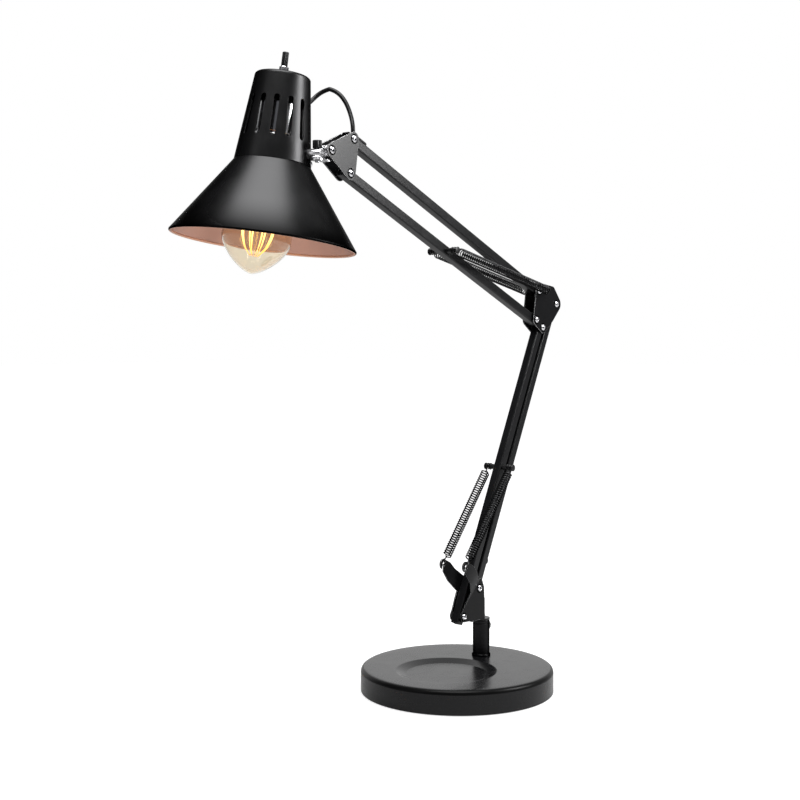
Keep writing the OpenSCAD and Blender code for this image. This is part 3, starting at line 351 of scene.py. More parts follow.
def painted_shade_below(mat, low, high, darkest):
    """Darkens a paint from one height over the shade's rim down to another: painted shade."""
    tree = mat.node_tree
    colour = tree.nodes["Principled BSDF"].inputs["Base Color"]
    paint = colour.links[0].from_socket
    axis = (SHADE.to_3x3() @ Vector((0, 0, 1))).normalized()
    rim = SHADE.translation.dot(axis) * MM
    along = add(tree, "VectorMath", {1: axis}, operation="DOT_PRODUCT")
    link(tree, add(tree, "TexCoord").outputs["Object"], along.inputs[0])
    share = mapped(tree, along.outputs["Value"], rim + low * MM, rim + high * MM, darkest,
                   kind="SMOOTHSTEP")
    scaled = add(tree, "VectorMath", operation="SCALE")
    link(tree, paint, scaled.inputs[0])
    link(tree, share, scaled.inputs["Scale"])
    link(tree, scaled.outputs["Vector"], colour)


# The lampshade's black paint darkens towards its rim: painted shade.
painted_shade_below(M["shade"], -6, 33, 0.1)


# Building blocks: a part is (points in millimetres, faces)

WELD = 2e-6


def piece(name, verts, faces, mats, body, rep=(), slot=None, place=None, pick=None, sharp=32):
    """A finished mesh from a part, riding on a body.

    pick says which of the materials a face has, from its middle and its normal.
    """
    mesh = bpy.data.meshes.new(name)
    place = place or Matrix.Identity(4)
    mesh.from_pydata([(place @ Vector(v)) * MM for v in verts], [], faces)
    for m in mats:
        mesh.materials.append(M[m])
    bm = bmesh.new()
    bm.from_mesh(mesh)
    bmesh.ops.remove_doubles(bm, verts=bm.verts, dist=WELD)
    bmesh.ops.recalc_face_normals(bm, faces=bm.faces)
    bm.to_mesh(mesh)
    bm.free()
    if pick:
        back = place.inverted()
        for polygon in mesh.polygons:
            polygon.material_index = pick(back @ (polygon.center / MM), polygon.normal)
    mesh.shade_smooth()
    if sharp:
        mesh.set_sharp_from_angle(angle=math.radians(sharp))
    obj = bpy.data.objects.new(name, mesh)
    bpy.context.scene.collection.objects.link(obj)
    if body:
        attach(obj, body)
    if rep:
        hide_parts(*rep)
    return obj


def join(*parts):
    """Several parts as one."""
    verts, faces = [], []
    for v, f in parts:
        base = len(verts)
        verts += list(v)
        faces += [tuple(i + base for i in face) for face in f]
    return verts, faces


def moved(part, matrix):
    return [tuple(matrix @ Vector(v)) for v in part[0]], part[1]


def bands(rings, sides):
    """Faces between rings of points that follow one another."""
    return [(first + k, first + (k + 1) % sides, first + sides + (k + 1) % sides, first + sides + k)
            for first in range(0, (rings - 1) * sides, sides) for k in range(sides)]


def sleeve(rings, sides):
    """Faces of a tube of rings, with both ends closed."""
    last = (rings - 1) * sides
    return bands(rings, sides) + [tuple(reversed(range(sides))), tuple(range(last, last + sides))]


def lathe(profile, sides=96, closed=True):
    """A profile of (radius, height) points turned round Z."""
    verts, rings, faces = [], [], []
    for r, z in profile:
        if r < 1e-6:
            rings.append([len(verts)])
            verts.append((0, 0, z))
        else:
            rings.append(list(range(len(verts), len(verts) + sides)))
            verts += [(r * math.cos(2 * math.pi * k / sides),
                       r * math.sin(2 * math.pi * k / sides), z) for k in range(sides)]
    pairs = list(zip(rings, rings[1:]))
    if closed:
        pairs.append((rings[-1], rings[0]))
    for a, b in pairs:
        for k in range(sides):
            n = (k + 1) % sides
            if len(a) == 1 and len(b) == 1:
                continue
            if len(a) == 1:
                faces.append((a[0], b[n], b[k]))
            elif len(b) == 1:
                faces.append((a[k], a[n], b[0]))
            else:
                faces.append((a[k], a[n], b[n], b[k]))
    return verts, faces


def softened(points, radius, steps=4, closed=True):
    """A flat outline with its corners rounded; radius is one for all or one per point."""
    out = []
    count = len(points)
    for i, p in enumerate(points):
        if not closed and i in (0, count - 1):
            out.append(tuple(p))
            continue
        r = radius[i] if isinstance(radius, (list, tuple)) else radius
        a, b = Vector(points[i - 1]) - Vector(p), Vector(points[(i + 1) % count]) - Vector(p)
        angle = a.angle(b)
        if r <= 0 or angle > math.pi - 0.01:
            out.append(tuple(p))
            continue
        cut = min(r / math.tan(angle / 2), a.length * 0.49, b.length * 0.49)
        start, end = Vector(p) + a.normalized() * cut, Vector(p) + b.normalized() * cut
        for k in range(steps + 1):
            t = k / steps
            out.append(tuple(start.lerp(Vector(p), t).lerp(Vector(p).lerp(end, t), t)))
    return out


def prism(outline, low, high, edge=0.0, steps=3):
    """An outline in XY raised along Z, with rounded rims."""
    count = len(outline)
    pts = [Vector(p) for p in outline]
    area = sum(pts[i - 1].x * pts[i].y - pts[i].x * pts[i - 1].y for i in range(count))
    if area < 0:
        pts.reverse()
    inward = []
    for i in range(count):
        a = (pts[i] - pts[i - 1]).normalized()
        b = (pts[(i + 1) % count] - pts[i]).normalized()
        n = Vector((-(a.y + b.y), a.x + b.x))
        inward.append(n.normalized() / max(0.5, n.length / 2))
    levels = [(0, low), (0, high)]
    if edge > 0:
        arc = [(edge * (1 - math.sin(math.pi / 2 * k / steps)),
                edge * (1 - math.cos(math.pi / 2 * k / steps))) for k in range(steps + 1)]
        levels = [(i, low + h) for i, h in arc] + [(i, high - h) for i, h in reversed(arc)]
    verts = [(*(pts[i] + inward[i] * inset), z) for inset, z in levels for i in range(count)]
    return verts, sleeve(len(levels), count)


def ribbed(radius, depth, ribs, per=6):
    """Outline of a knob with round ribs."""
    out = []
    for k in range(ribs * per):
        r = radius - depth * (0.5 - 0.5 * math.cos(2 * math.pi * k / per))
        a = 2 * math.pi * k / (ribs * per)
        out.append((r * math.cos(a), r * math.sin(a)))
    return out


def tube(path, radius, sides=10, radii=None):
    """A closed tube along points, with rings that don't twist."""
    path = [Vector(p) for p in path]
    last = len(path) - 1
    heads = [(path[min(i + 1, last)] - path[max(i - 1, 0)]).normalized()
             for i in range(len(path))]
    normal = heads[0].orthogonal().normalized()
    verts = []
    for i, (p, t) in enumerate(zip(path, heads)):
        normal = (normal - t * normal.dot(t)).normalized()
        other = t.cross(normal)
        r = radii[i] if radii else radius
        for k in range(sides):
            a = 2 * math.pi * k / sides
            verts.append(tuple(p + (normal * math.cos(a) + other * math.sin(a)) * r))
    return verts, sleeve(len(path), sides)


def smooth_line(points, per=10):
    """Points along a curve through the given ones."""
    p = [Vector(q) for q in points]
    p = [2 * p[0] - p[1]] + p + [2 * p[-1] - p[-2]]
    out = []
    for i in range(1, len(p) - 2):
        for k in range(per):
            t = k / per
            out.append(0.5 * (2 * p[i] + (p[i + 1] - p[i - 1]) * t
                              + (2 * p[i - 1] - 5 * p[i] + 4 * p[i + 1] - p[i + 2]) * t * t
                              + (3 * p[i] - p[i - 1] - 3 * p[i + 1] + p[i + 2]) * t ** 3))
    out.append(p[-2])
    return out


def soft_edges(obj, width, angle):
    """Rounds the edges of an object that are sharper than an angle."""
    bevel = obj.modifiers.new("edge", "BEVEL")
    bevel.width = width * MM
    bevel.segments = 2
    bevel.limit_method = "ANGLE"
    bevel.angle_limit = math.radians(angle)
    bevel.harden_normals = True
    return bevel


def dress(material, *nodes, edge=0.25, rim=None):
    """Gives CAD nodes a material and softened edges, which can have a material of their own: a
    light grey on plates and bars, a painted highlight.
    """
    for n in nodes:
        obj = frame["nodes"][n]
        mesh = obj.data
        mesh.materials.clear()
        mesh.materials.append(M[material])
        if rim:
            mesh.materials.append(M[rim])
        if "custom_normal" in mesh.attributes:
            mesh.attributes.remove(mesh.attributes["custom_normal"])
        mesh.shade_smooth()
        weld = obj.modifiers.new("weld", "WELD")
        weld.merge_threshold = WELD
        if edge:
            flat = obj.modifiers.new("flat", "DECIMATE")
            flat.decimate_type = "DISSOLVE"
            flat.angle_limit = math.radians(0.5)
            bevel = soft_edges(obj, edge, 40)
            if rim:
                bevel.material = 1


# Head cord: three stretches that meet on the bodies between them, placed from the swivel

CORD_D = 4.0
CORD_SIDES = 16
ROUTE = [(19.1, 38.7, 49.7), (23.1, 39, 49.3), (29.7, 40, 50.2), (37.8, 40.9, 55.8),
         (43.1, 37.4, 61.9), (46.8, 28.6, 65), (48.3, 19.3, 60.9), (49.3, 12.5, 53.5),
         (50, 8.1, 45.2), (48.8, 3.7, 36), (46.6, 0, 27.4), (46.2, 0, 19.7),
         (49, 0, 14.5), (54, 0, 10.3), (63, 0, 6.3), (72, 0, 2.3)]
STRETCHES = (("head_cord_shade", "shade", "knuckle", 0, 5),
             ("head_cord_mid", "knuckle", "head_bracket", 5, 9),
             ("head_cord_bar", "head_bracket", "upper_top", 9, 15))
PER = 8


def head_cord():
    """The route smoothed between its ends and its meeting places, one tube in three pieces."""
    line = [p + SWIVEL for p in smooth_line(ROUTE, PER)]
    fixed = {0, 2, *(last * PER for *_, last in STRETCHES)}
    for _ in range(30):
        line = [p if i in fixed else (line[i - 1] + p * 2 + line[i + 1]) / 4
                for i, p in enumerate(line)]
    verts, _ = tube(line, CORD_D / 2, CORD_SIDES)
    for name, a, b, first, last in STRETCHES:
        i, j = first * PER, last * PER
        part = verts[i * CORD_SIDES:(j + 1) * CORD_SIDES]
        obj = piece(name + "_skin", part, sleeve(j - i + 1, CORD_SIDES), ["cord"], None, [name],
                    "cord_sheath", sharp=50)
        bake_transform(obj)


head_cord()


# Base

def base_cover():
    """One skin from the lower edge over the top and into the dish, and the drum's inside."""
    sides = 160
    dish = Vector((-math.cos(POST_SIDE), -math.sin(POST_SIDE))) * DISH_OFFSET
    edge = softened([(BASE_R, BASE_UNDER), (BASE_R, BASE_TOP), (80, BASE_TOP)],
                    [0, BASE_EDGE_R, 0], 12, closed=False)[:-1]
    rings = [(Vector((0, 0)), r, z) for r, z in edge]
    flat_r = BASE_R - BASE_EDGE_R
    for share in (0.2, 0.4, 0.6, 0.8, 1.0):
        rings.append((dish * share, flat_r + (DISH_R - flat_r) * share, BASE_TOP))
    wall = softened([(DISH_R, BASE_TOP), (49.4, BASE_TOP), (39.6, DISH_FLOOR), (33, DISH_FLOOR)],
                    [0, 3.0, 3.4, 0], 8, closed=False)
    rings += [(dish, r, z) for r, z in wall[1:] + [(24, DISH_FLOOR), (12, DISH_FLOOR)]]
    verts = []
    for centre, r, z in rings:
        for k in range(sides):
            a = 2 * math.pi * k / sides
            verts.append((centre.x + r * math.cos(a), centre.y + r * math.sin(a), z))
    last, hub = len(verts) - sides, len(verts)
    verts.append((dish.x, dish.y, DISH_FLOOR))
    faces = bands(len(rings), sides)
    faces += [(last + k, last + (k + 1) % sides, hub) for k in range(sides)]
    under = lathe([(BASE_R, BASE_UNDER), (93.5, BASE_UNDER), (93.5, 18), (0, 18)], sides,
                  closed=False)

    # Faces on the rounded top edge take the darker copy of the paint: painted shade.
    def rounded(point, normal):
        on_edge = point.z > 19 and point.xy.length > 88
        return 1 if on_edge and 0.12 < normal.z < 0.96 else 0

    piece("base_cover_shell", *join((verts, faces), under), ["base", "base_rim"], "base",
          ["base_cover"], "satin_black", sharp=50, pick=rounded)


def post():
    """A round post with a flange on the base and a groove near its top."""
    profile = softened([(5, 3.4), (5, BASE_TOP), (9.5, BASE_TOP), (9.5, 26), (8.5, 26),
                        (8.5, 57.2), (8, 57.2), (8, 58), (8.5, 58), (8.5, 61), (5.1, 61),
                        (5.1, 29), (0, 29)],
                       [0, 0, 0, 0.6, 0.8, 0.2, 0, 0, 0.2, 0.7, 0.3, 0, 0], 4, closed=False)
    piece("post_tube", *lathe([(0, 3.4)] + profile, 72, closed=False), ["post"], "base",
          ["post"], "bar_paint", shift(POST_X, ARM_Y, 0))


def clamp_knob():
    dimple = lathe([(0, 15), (0, 15.4), (2.6, 15.4), (3.2, 15)], 32)
    piece("clamp_knob_head", *join(prism(ribbed(6.5, 0.55, 24), 10, 15, 0.7), dimple),
          ["plastic"], "clamp", ["clamp_knob"], "black_plastic",
          shift(POST_X, ARM_Y, CLAMP_Z) @ turn("Z", 20) @ turn("Y", 90))


base_cover()
post()
clamp_knob()


# Plates, blocks, bars and small parts keep their solids

# The bevels of plates and bars take the light grey edge material, a painted highlight.
dress("shaded_plate", "bracket_plate_near", "bracket_plate_far", "elbow_plate_near",
      "elbow_plate_far", edge=0.5, rim="edge")
dress("plate", "head_plate_near", "head_plate_far", edge=0.5, rim="edge")
dress("plate", "bracket_block", edge=0.5)
dress("bar", "lower_front_bar", "lower_rear_bar", "upper_low_bar", "upper_top_bar", edge=0.45,
      rim="edge")
dress("bush", "lower_front_bushes", "lower_rear_bushes", "upper_low_bushes", "upper_top_bushes",
      edge=0.12)
dress("rubber", "foot_pad", "lead_grommet", "cord_grommet", edge=0.3)
dress("plated", "knuckle_strap", "tilt_washers", edge=0.25)
dress("plastic", "switch_housing", edge=0.3)
dress("zinc", "clamp_screw", "swivel_screw", "stem_nut", edge=0.2)
dress("zinc", "bottom_plate", "bottom_screws", "post_nut", edge=0)
dress("iron", "ballast", edge=0)
dress("brass", "thread_shell", "centre_contact", edge=0)
dress("cap", "bulb_cap", edge=0)


# Rivets: a shank through the plates and a punched dome on both sides

def rivets(name, node, body, places):
    face, shank_r, dome_r, dome_h = 7.0, 2, 3.25, 1.15
    dome_z = face + 0.4
    head = [(0, face), (4.3, face), (4.45, face + 0.12), (4.3, face + 0.3), (3.3, face + 0.32),
            (dome_r, dome_z)]
    head += [(dome_r * math.cos(a), dome_z + dome_h * math.sin(a))
             for a in (math.pi / 2 * k / 8 for k in range(1, 6))]
    head += [(1.35, 8.44), (1.15, 8.3), (1.0, 7.7), (0, 7.55)]
    end = face + 0.01
    shank = lathe([(0, -end), (shank_r, -end), (shank_r, end), (0, end)], 24, closed=False)
    parts = []
    for p in places:
        for side in (90, -90):
            parts.append(moved(lathe(head, 36, closed=False), in_arm(p) @ turn("X", side)))
        parts.append(moved(shank, in_arm(p) @ turn("X", 90)))

    def dark(point, normal):
        """The ring round the dome and the punch mark in it, which take a near-black, dull paint:
        painted shade.
        """
        off = min((point - in_arm(p).translation for p in places), key=lambda d: d.xz.length)
        r = off.xz.length
        return 1 if r > 3.3 or r < 0.9 and abs(off.y) < 8.2 else 0

    piece(name, *join(*parts), ["chrome", "seat"], body, [node], "chrome", pick=dark)


rivets("bracket_rivet_heads", "bracket_rivets", "bracket", [FOOT_FRONT, FOOT_REAR])
rivets("elbow_rivet_heads", "elbow_rivets", "elbow",
       [ELBOW_REAR, ELBOW_LOW, ELBOW_FRONT, ELBOW_TOP])
rivets("head_rivet_heads", "head_rivets", "head_bracket", [HEAD_TILT, HEAD_TOP, HEAD_LOW])


# Springs and the pins that carry them

def spring_pins(name, node, body, place, degrees):
    """Pins with a groove at each end for the spring's ring."""
    r, bar_side = 2, 4.55
    side = [(0, 17.6), (2.9, 17.6), (3.4, 17.4), (3.5, 17.1), (3.4, 16.8), (2.9, 16.65), (r, 16.6),
            (r, 11.5), (3, 11.4), (3.5, 11.2), (3.5, 10.8), (3.2, 10.6), (2.7, 10.5), (2.7, 4.6),
            (r, bar_side), (0, bar_side)]
    spot = in_arm(place, degrees)
    parts = [moved(lathe(side, 32, closed=False), spot @ turn("X", s)) for s in (90, -90)]
    end = bar_side + 0.01
    core = lathe([(0, -end), (r, -end), (r, end), (0, end)], 24, closed=False)
    parts.append(moved(core, spot @ turn("X", 90)))
    piece(name, *join(*parts), ["plastic"], body, [node], "black_plastic")


spring_pins("lower_pin_turned", "lower_spring_pin", "lower_front", LOWER_PIN, LOWER_REST)
spring_pins("upper_pin_turned", "upper_spring_pin", "upper_low", UPPER_PIN, UPPER_TURN)

SPRING_Y = 14
COIL_OUTER_R = 4.75
COIL_POINTS = 20
COIL_OPENS = 14
PIN_RING_R = 2.8
WIRE_SIDES = 8


def spring_line(length, turns, coil_r, through):
    """The wire along X: a loop through a plate's hole or round a hook, coils, a ring on a pin."""
    if through:
        first = 5.2
        loop = [(1.2, -8.4, 0), (0.3, -8.3, 0), (0, -7.4, 0), (0, -5.6, 0), (0.3, -4.2, 0),
                (1.4, -1.6, 0), (2.6, -0.3, 0), (3.6, 0, 0)]
    else:
        first = 8.6
        loop = [(3.2, -1.5, 0), (1.2, -1.6, 0), (-0.4, -1.3, 0), (-1.3, 0, 0), (-0.4, 1.3, 0),
                (1.4, 1.6, 0), (4.4, 1.5, 0), (6.4, 0.6, 0), (7.2, 0.1, 0)]
    last = length - 6.2
    line = smooth_line(loop, 4)
    steps = turns * COIL_POINTS
    for i in range(steps + 1):
        opening = math.sin(math.pi / 2 * min(1, min(i, steps - i) / COIL_OPENS)) ** 2
        a = 2 * math.pi * i / COIL_POINTS
        line.append(Vector((first + (last - first) * i / steps, coil_r * opening * math.sin(a),
                            coil_r * opening * math.cos(a))))
    tail = [(last + 1, 0, 0), (length - 4.6, 0.0, 0.0)]
    ring = [(length - PIN_RING_R * math.cos(a), 0, PIN_RING_R * math.sin(a))
            for a in (math.radians(d) for d in range(20, 331, 20))]
    return line + smooth_line(tail + ring, 2)


def springs(label, node, hook, pin, turns, wire, through, stages):
    """Two springs in stretches.

    Each stage says where it ends, as a share of the length; the span after that, over which its
    bend would be spread, is not used.
    """
    span = Vector(pin) - Vector(hook)
    length = span.length
    place = in_arm(hook, math.degrees(math.atan2(span.y, span.x)))
    line = spring_line(length, turns, COIL_OUTER_R - wire, through)
    rings, _ = tube(line, wire, WIRE_SIDES)
    cuts = [0]
    cuts += [next(i for i, q in enumerate(line) if q.x > reach * length)
             for reach, *_ in stages[:-1]]
    cuts.append(len(line) - 1)
    for side, word in ((-1, "near"), (1, "far")):
        verts = [(x, SPRING_Y * side + y * side, z) for x, y, z in rings]
        for k, (_, start, end) in enumerate(stages):
            i, j = cuts[k], cuts[k + 1]
            obj = piece(f"{label}_{word}_{k + 1}", verts[i * WIRE_SIDES:(j + 1) * WIRE_SIDES],
                        sleeve(j - i + 1, WIRE_SIDES), ["wire"], None, (), "spring_wire", place,
                        sharp=60)
            if k == 0:
                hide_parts(f"{node}_{word}")
            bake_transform(obj)


springs("lower_coil", "lower_spring", WING_HOOK, LOWER_PIN,
        turns=40, wire=0.68, through=False, stages=((0.22, 0.0, 0.45), (1.0, -0.4786, 0.95)))
springs("upper_coil", "upper_spring", ELBOW_HOLE, UPPER_PIN,
        turns=48, wire=0.65, through=True, stages=((1.0, 0.0, 0.26),))


# Head joint

def stem():
    """A turned stem from the swivel's barrel to the face of the neck, and a thread inside it."""
    lean = math.radians(LEAN_TRIM)
    wall = neck_r(STEM_UP) * math.cos(math.radians(HALF_ANGLE)) / math.cos(lean)
    face = STEM_REACH - wall - STEM_R * math.tan(lean)
    profile = [(0, -4.6), (3.6, -4.6), (4.1, -4.45), (STEM_R, -4.0), (STEM_R, face - 0.6),
               (4.1, face), (3.2, face), (3.2, face + 7), (0, face + 7)]
    piece("head_stem_turned", *lathe(profile, 48, closed=False), ["plated"], "shade",
          ["head_stem"], "chrome", STEM @ turn("Y", 90))


def swivel_knob():
    low, tall = 4.4, 7
    piece("swivel_knob_ribbed", *prism(ribbed(4.1, 0.45, 14), low, low + tall, 0.6), ["plastic"],
          "swivel_clamp", ["swivel_knob"], "black_plastic", Matrix.Translation(SWIVEL))


stem()
swivel_knob()


# Shade

def cone():
    """A spun cone with a copper inside and a rolled rim."""
    top_r, wall, bead = 33.5, 1.22, 1.4
    collar_r, collar_top = 32.1, 76.5
    centre = (RIM_R - bead, bead)
    slope = math.atan2(RIM_R - top_r, CONE_H - bead)
    start = math.degrees(math.pi / 2 - slope)
    out = [(top_r, CONE_H), (top_r + 0.4, CONE_H - 0.5)]
    out += [at_angle(centre, bead, a) for a in np.linspace(start, -205, 22)]
    inner_top = CONE_H - 1.0
    out += [(top_r - wall + 1.0, inner_top - 0.6), (31.2, inner_top), (31.2, 76.2),
            (31.4, collar_top), (31.9, collar_top), (collar_r, 76.2), (collar_r, CONE_H)]
    dense = []
    for i, p in enumerate(out):
        q = out[(i + 1) % len(out)]
        dense.append(p)
        if math.dist(p, q) > 12:
            dense += [tuple(Vector(p).lerp(Vector(q), k / 6)) for k in range(1, 6)]

    def inside(point, normal):
        r = point.xy.length
        # The bead's inner side takes the brighter copper, a painted highlight.
        if point.z < 2 * bead + 0.2:
            return 2 if r < centre[0] + 0.35 else 0
        line = RIM_R - wall * 0.5 - (RIM_R - top_r) * (point.z - bead) / (CONE_H - bead)
        return 1 if r < line else 0

    piece("shade_cone_spun", *lathe(dense, 240), ["shade", "copper", "bead"], "shade",
          ["shade_cone"], "shade_paint", SHADE, pick=inside)


def apart(a, b):
    """How far one angle is past another, from -180 to 180 degrees."""
    return (a - b + 180) % 360 - 180


def neck():
    """A spun neck with slots cut through, a rounded top and a hole for the switch."""
    columns, slots, slot_turn, half = 168, 14, 8, 2.4
    low, high, slot_low, slot_high = CONE_H + 0.4, NECK_SIDE_TOP - 1.5, 90.0, 126.0
    squeeze = 0.5
    centres = [360 / slots * i + slot_turn for i in range(slots)]

    def wrap(u, up):
        a = math.radians(u)
        return (neck_r(up) * math.cos(a), neck_r(up) * math.sin(a), up)

    def near_slot(u, up):
        reach = math.degrees(half / neck_r(up)) + 0.9
        return (slot_low - 1.0 < up < slot_high + 1.0
                and any(abs(apart(u, c)) < reach for c in centres))

    def in_slot(u, up):
        past_end = max(slot_low + half - up, 0, up - (slot_high - half))
        return any(math.hypot(math.radians(apart(u, c)) * neck_r(up), past_end) < half * 0.985
                   for c in centres)

    rows = [low, 75, 80, 86, 94, 100, 108, 116, 122, 130, 136, high]
    flat = [(360 * k / columns, row) for row in rows for k in range(columns + 1)]
    flat = [(u, row) for u, row in flat if not near_slot(u, row)]
    edges = []
    for c in centres:
        loop = []
        for begin, level, middle in ((0, slot_high, slot_high - half),
                                     (math.pi, slot_low, slot_low + half)):
            for k in range(11):
                a = begin + math.pi * k / 10
                loop.append((c + math.degrees(half * math.cos(a) / neck_r(level)),
                             middle + half * math.sin(a)))
        base = len(flat)
        flat += loop
        edges += [(base + i, base + (i + 1) % len(loop)) for i in range(len(loop))]
    scaled = [Vector((u * squeeze, v)) for u, v in flat]
    out, _, tris, *_ = delaunay_2d_cdt(scaled, edges, [], 0, 1e-5)
    verts = [wrap(p.x / squeeze, p.y) for p in out]
    faces = [tuple(t) for t in tris
             if not in_slot(sum(out[i].x for i in t) / len(t) / squeeze,
                            sum(out[i].y for i in t) / len(t))]
    round_r = NECK_TOP - NECK_SIDE_TOP
    r = NECK_TOP_R - round_r
    rim = [(neck_r(high), high), (neck_r(NECK_SIDE_TOP - 0.6), NECK_SIDE_TOP - 0.6)]
    rim += [at_angle((r, NECK_SIDE_TOP), round_r, a) for a in range(6, 91, 12)]
    rim += [(r, NECK_TOP), (14, NECK_TOP), (3.55, NECK_TOP)]
    cap = lathe(rim, columns, closed=False)
    lip = lathe([(neck_r(low), low), (neck_r(CONE_H), CONE_H)], columns, closed=False)
    obj = piece("shade_neck_spun", *join((verts, faces), cap, lip), ["satin"], "shade",
                ["shade_neck"], "satin_black", SHADE, sharp=0)
    shell = obj.modifiers.new("wall", "SOLIDIFY")
    shell.thickness = 1.0 * MM
    shell.offset = -1
    shell.use_even_offset = True
    soft_edges(obj, 0.22, 50)


def neck_screws():
    up = CONE_H + 2.8
    head = [(0, -3.5), (1.25, -3.5), (1.25, 0.3), (2.05, 0.3), (2.1, 0.6), (1.9, 1.05),
            (1.4, 1.4), (0.7, 1.5), (0.45, 1.2), (0, 1.0)]
    parts = [moved(lathe(head, 24, closed=False),
                   turn("Z", a) @ shift(neck_r(up), 0, up) @ turn("Y", 90)) for a in (195, 335)]
    piece("neck_screw_heads", *join(*parts), ["chrome"], "shade", ["neck_screws"], "chrome", SHADE)


def switch():
    """A threaded nut on the neck, and a turning knob on a shaft that goes down through it."""
    bore_r, root_r, nut_top = 3.53, 3.95, 155.5
    thread = [(bore_r, NECK_TOP), (4.6, NECK_TOP), (4.8, 148.3), (4.8, 150.9), (4.5, 151.2)]
    for i in range(5):
        thread += [(root_r, 151.35 + i * 0.82), (4.35, 151.75 + i * 0.82)]
    thread += [(root_r, nut_top), (bore_r, nut_top)]
    piece("switch_nut_threaded", *lathe(thread, 48), ["chrome"], "shade", ["switch_nut"], "chrome",
          SHADE)
    knob = prism(ribbed(2.9, 0.3, 16), nut_top + 0.1, 168.6, 0.5)
    shaft = lathe([(0, 142), (1.5, 142), (1.5, 155.7), (0, 155.7)], 24, closed=False)
    piece("switch_knob_ribbed", *join(knob, shaft), ["plastic"], "switch", ["switch_knob"],
          "black_plastic", SHADE)


def holder():
    """The bright shell seen through the slots, with a groove round it."""
    profile = softened([(14.35, -49.2), (18.5, -49.2), (18.5, -30.4), (17.9, -29.6),
                        (17.9, -28.2), (18.5, -27.4), (18.5, -1.2), (5, -1.2), (5, -0.5),
                        (0, -0.5), (0, -21.2), (14.35, -21.2)],
                       [0.4, 0.8, 0.3, 0.3, 0.3, 0.3, 1.5, 0.2, 0, 0, 0, 0.2], 3)
    piece("lamp_holder_shell", *lathe(profile, 96), ["holder"], "shade", ["lamp_holder"],
          "holder_shell", LAMP)


def gland():
    """The rubber ring that the cord comes out of."""
    up, side = 130.3, 255.6
    profile = softened([(2.06, -3), (3, -3), (3, 0.5), (3.9, 0.5), (3.9, 1.7), (2.06, 1.7)],
                       [0, 0.2, 0, 0.4, 0.5, 0], 3)
    piece("neck_gland_moulded", *lathe(profile, 32), ["rubber"], "shade", ["neck_gland"],
          "black_rubber", SHADE @ turn("Z", side) @ shift(neck_r(up), 0, up) @ turn("Y", 90))


cone()
neck()
neck_screws()
switch()
holder()
gland()


# Bulb: heights are measured from the lamp's seat, downwards

def globe(inset):
    """Half the globe's outline, from its tip up to the cap."""
    globe_r, collar_r, mid, tip_h, top = 31.0, 12.4, -121.0, 31.0, -50.4
    r, h = globe_r - inset, tip_h - inset
    out = [(r * math.sin(a) ** 1.33, mid - h * abs(math.cos(a)) ** 1.33)
           for a in (math.pi / 2 * k / 26 for k in range(27))]
    for k in range(1, 25):
        share = k / 24
        swell = ((1 + math.cos(math.pi * share)) / 2) ** 0.8
        out.append((collar_r + (globe_r - collar_r) * swell - inset, mid + (top - mid) * share))
    return out + [(collar_r - inset, top + 6)]


def filaments():
    """Supports, and hot strands that thin out from the top ring down to the tip."""
    count, top_z, low_z = 8, -88.0, -136.0
    wire, thick, thin = 0.25, 1.15, 0.3
    supports, hot = [], []
    for i in range(count):
        a = 2 * math.pi * i / count
        c, s = math.cos(a), math.sin(a)
        supports.append(tube([(1.5 * c, 1.5 * s, -80), (8 * c, 8 * s, top_z + 2),
                              (14.8 * c, 14.8 * s, top_z)], wire, 6))
        supports.append(tube([(0.8 * c, 0.8 * s, low_z + 1.5), (3.4 * c, 3.4 * s, low_z + 0.4)],
                             wire, 6))
        strand = [(15.0, top_z), (15.3, top_z - 8), (15.2, -104), (14.7, -112), (13.2, -120),
                  (10.2, -128), (6.4, -133), (3.4, low_z)]
        line = smooth_line([(r * c, r * s, z) for r, z in strand], 4)
        shares = [k / (len(line) - 1) for k in range(len(line))]
        radii = [thick - (thick - thin) * t * t * (3 - 2 * t) for t in shares]
        hot.append(tube(line, thick, 8, radii))
    return supports, hot


def bulb():
    piece("bulb_globe", *lathe(globe(0) + globe(0.9)[::-1], 96, closed=False), ["amber"], "shade",
          ["bulb_glass"], "amber_glass", LAMP, sharp=0)
    mount = softened([(0, -80), (2.2, -80), (3.2, -70), (5, -58), (9, -46), (11.4, -44.6),
                      (11.4, -43.6), (0, -43.6)], [0, 1, 2, 4, 3, 0.3, 0.3, 0], 4, closed=False)
    rod = tube([(0, 0, -80.5), (0, 0, -136.5)], 0.9, 12)
    supports, hot = filaments()
    piece("bulb_stem", *join(lathe(mount, 32, closed=False), rod), ["stem_glass"], "shade",
          ["bulb_mount"], "clear_glass", LAMP)
    piece("bulb_support_wires", *join(*supports), ["zinc"], "shade", (), "zinc", LAMP)
    piece("bulb_hot_wires", *join(*hot), ["glow"], "shade", ["bulb_filaments"], "filament", LAMP)


bulb()


# Studio

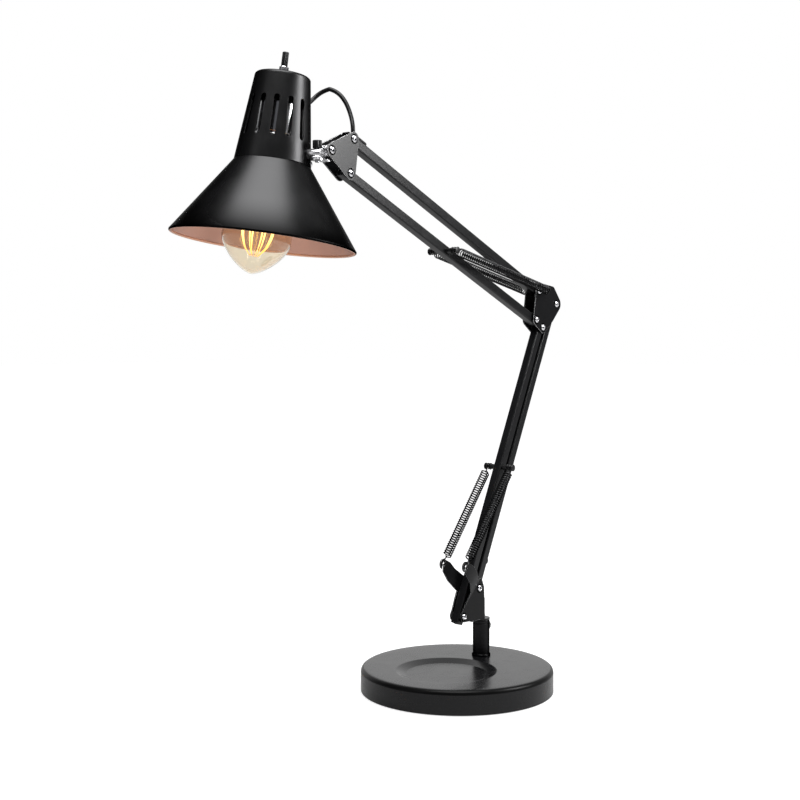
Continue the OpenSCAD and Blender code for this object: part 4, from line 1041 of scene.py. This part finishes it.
def world():
    """A dim room whose backdrop is white where the camera, glass or a reflection sees it."""
    studio = bpy.data.worlds.new("studio")
    bpy.context.scene.world = studio
    studio.use_nodes = True
    tree = studio.node_tree
    tree.nodes.clear()
    path = add(tree, "LightPath")
    side = add(tree, "VectorMath", {1: (0.70, 0.70, 0.15)}, operation="DOT_PRODUCT")
    link(tree, add(tree, "TexCoord").outputs["Generated"], side.inputs[0])
    behind = mapped(tree, side.outputs["Value"], 0.35, 0.9, kind="SMOOTHSTEP")
    mirrored = calculated(tree, "MULTIPLY", path.outputs["Is Glossy Ray"], behind)
    direct = calculated(tree, "MAXIMUM", path.outputs["Is Camera Ray"],
                        path.outputs["Is Transmission Ray"])
    white = add(tree, "Background", {"Color": (1, 1, 1, 1), "Strength": 1.0})
    room = add(tree, "Background", {"Color": (0.9, 0.92, 1.0, 1), "Strength": 0.09})
    mix = add(tree, "MixShader")
    link(tree, calculated(tree, "MAXIMUM", direct, mirrored), mix.inputs["Fac"])
    link(tree, room.outputs["Background"], mix.inputs[1])
    link(tree, white.outputs["Background"], mix.inputs[2])
    link(tree, mix.outputs["Shader"], add(tree, "OutputWorld").inputs["Surface"])


def softbox(name, at, to, width, height, power):
    data = bpy.data.lights.new(name, "AREA")
    data.shape = "RECTANGLE"
    data.size = width
    data.size_y = height
    data.energy = power
    light = bpy.data.objects.new(name, data)
    bpy.context.scene.collection.objects.link(light)
    light.location = at
    light.rotation_mode = "QUATERNION"
    light.rotation_quaternion = (Vector(to) - Vector(at)).to_track_quat("-Z", "Y")


def floor_paint():
    """A pale floor that glows towards the camera, fading to white away from the object."""
    mat, tree, shader = new_material("white_floor")
    shader.inputs["Roughness"].default_value = 0.9
    shader.inputs["Specular IOR Level"].default_value = 0.1
    shader.inputs["Emission Color"].default_value = (1, 1, 1, 1)
    coords = add(tree, "TexCoord")
    pale = shaded(tree, grained(tree, coords, 3, 2), (0.43, 0.43, 0.43), (0.46, 0.46, 0.46))
    link(tree, pale, shader.inputs["Base Color"])
    path = add(tree, "LightPath")
    direct = calculated(tree, "MAXIMUM", path.outputs["Is Camera Ray"],
                        path.outputs["Is Transmission Ray"])
    mirrored = calculated(tree, "MULTIPLY", path.outputs["Is Glossy Ray"], 0.24)
    reach = add(tree, "VectorMath", operation="LENGTH")
    link(tree, coords.outputs["Object"], reach.inputs[0])
    fade = mapped(tree, reach.outputs["Value"], 0.25, 1.6, 0.78, 1.0, kind="SMOOTHSTEP")
    glow = calculated(tree, "MULTIPLY", calculated(tree, "MAXIMUM", direct, mirrored), fade)
    link(tree, glow, shader.inputs["Emission Strength"])
    return mat


def studio_floor():
    far = 12.0
    mesh = bpy.data.meshes.new("floor")
    mesh.from_pydata([(-far, -far, 0), (far, -far, 0), (far, far, 0), (-far, far, 0)], [],
                     [(0, 1, 2, 3)])
    mesh.materials.append(floor_paint())
    floor = bpy.data.objects.new("floor", mesh)
    bpy.context.scene.collection.objects.link(floor)
    floor.location.z = -0.0002


world()
softbox("overhead", (-0.37, -0.13, 1.5), (-0.2, 0, 0.3), 1.0, 1.0, 27)
softbox("right_front", (0.62, -1.05, 0.95), (-0.1, 0, 0.4), 0.45, 0.7, 22)
softbox("left_front", (-1.6, 0.35, 0.9), (-0.1, 0, 0.3), 0.5, 0.9, 1.5)
studio_floor()
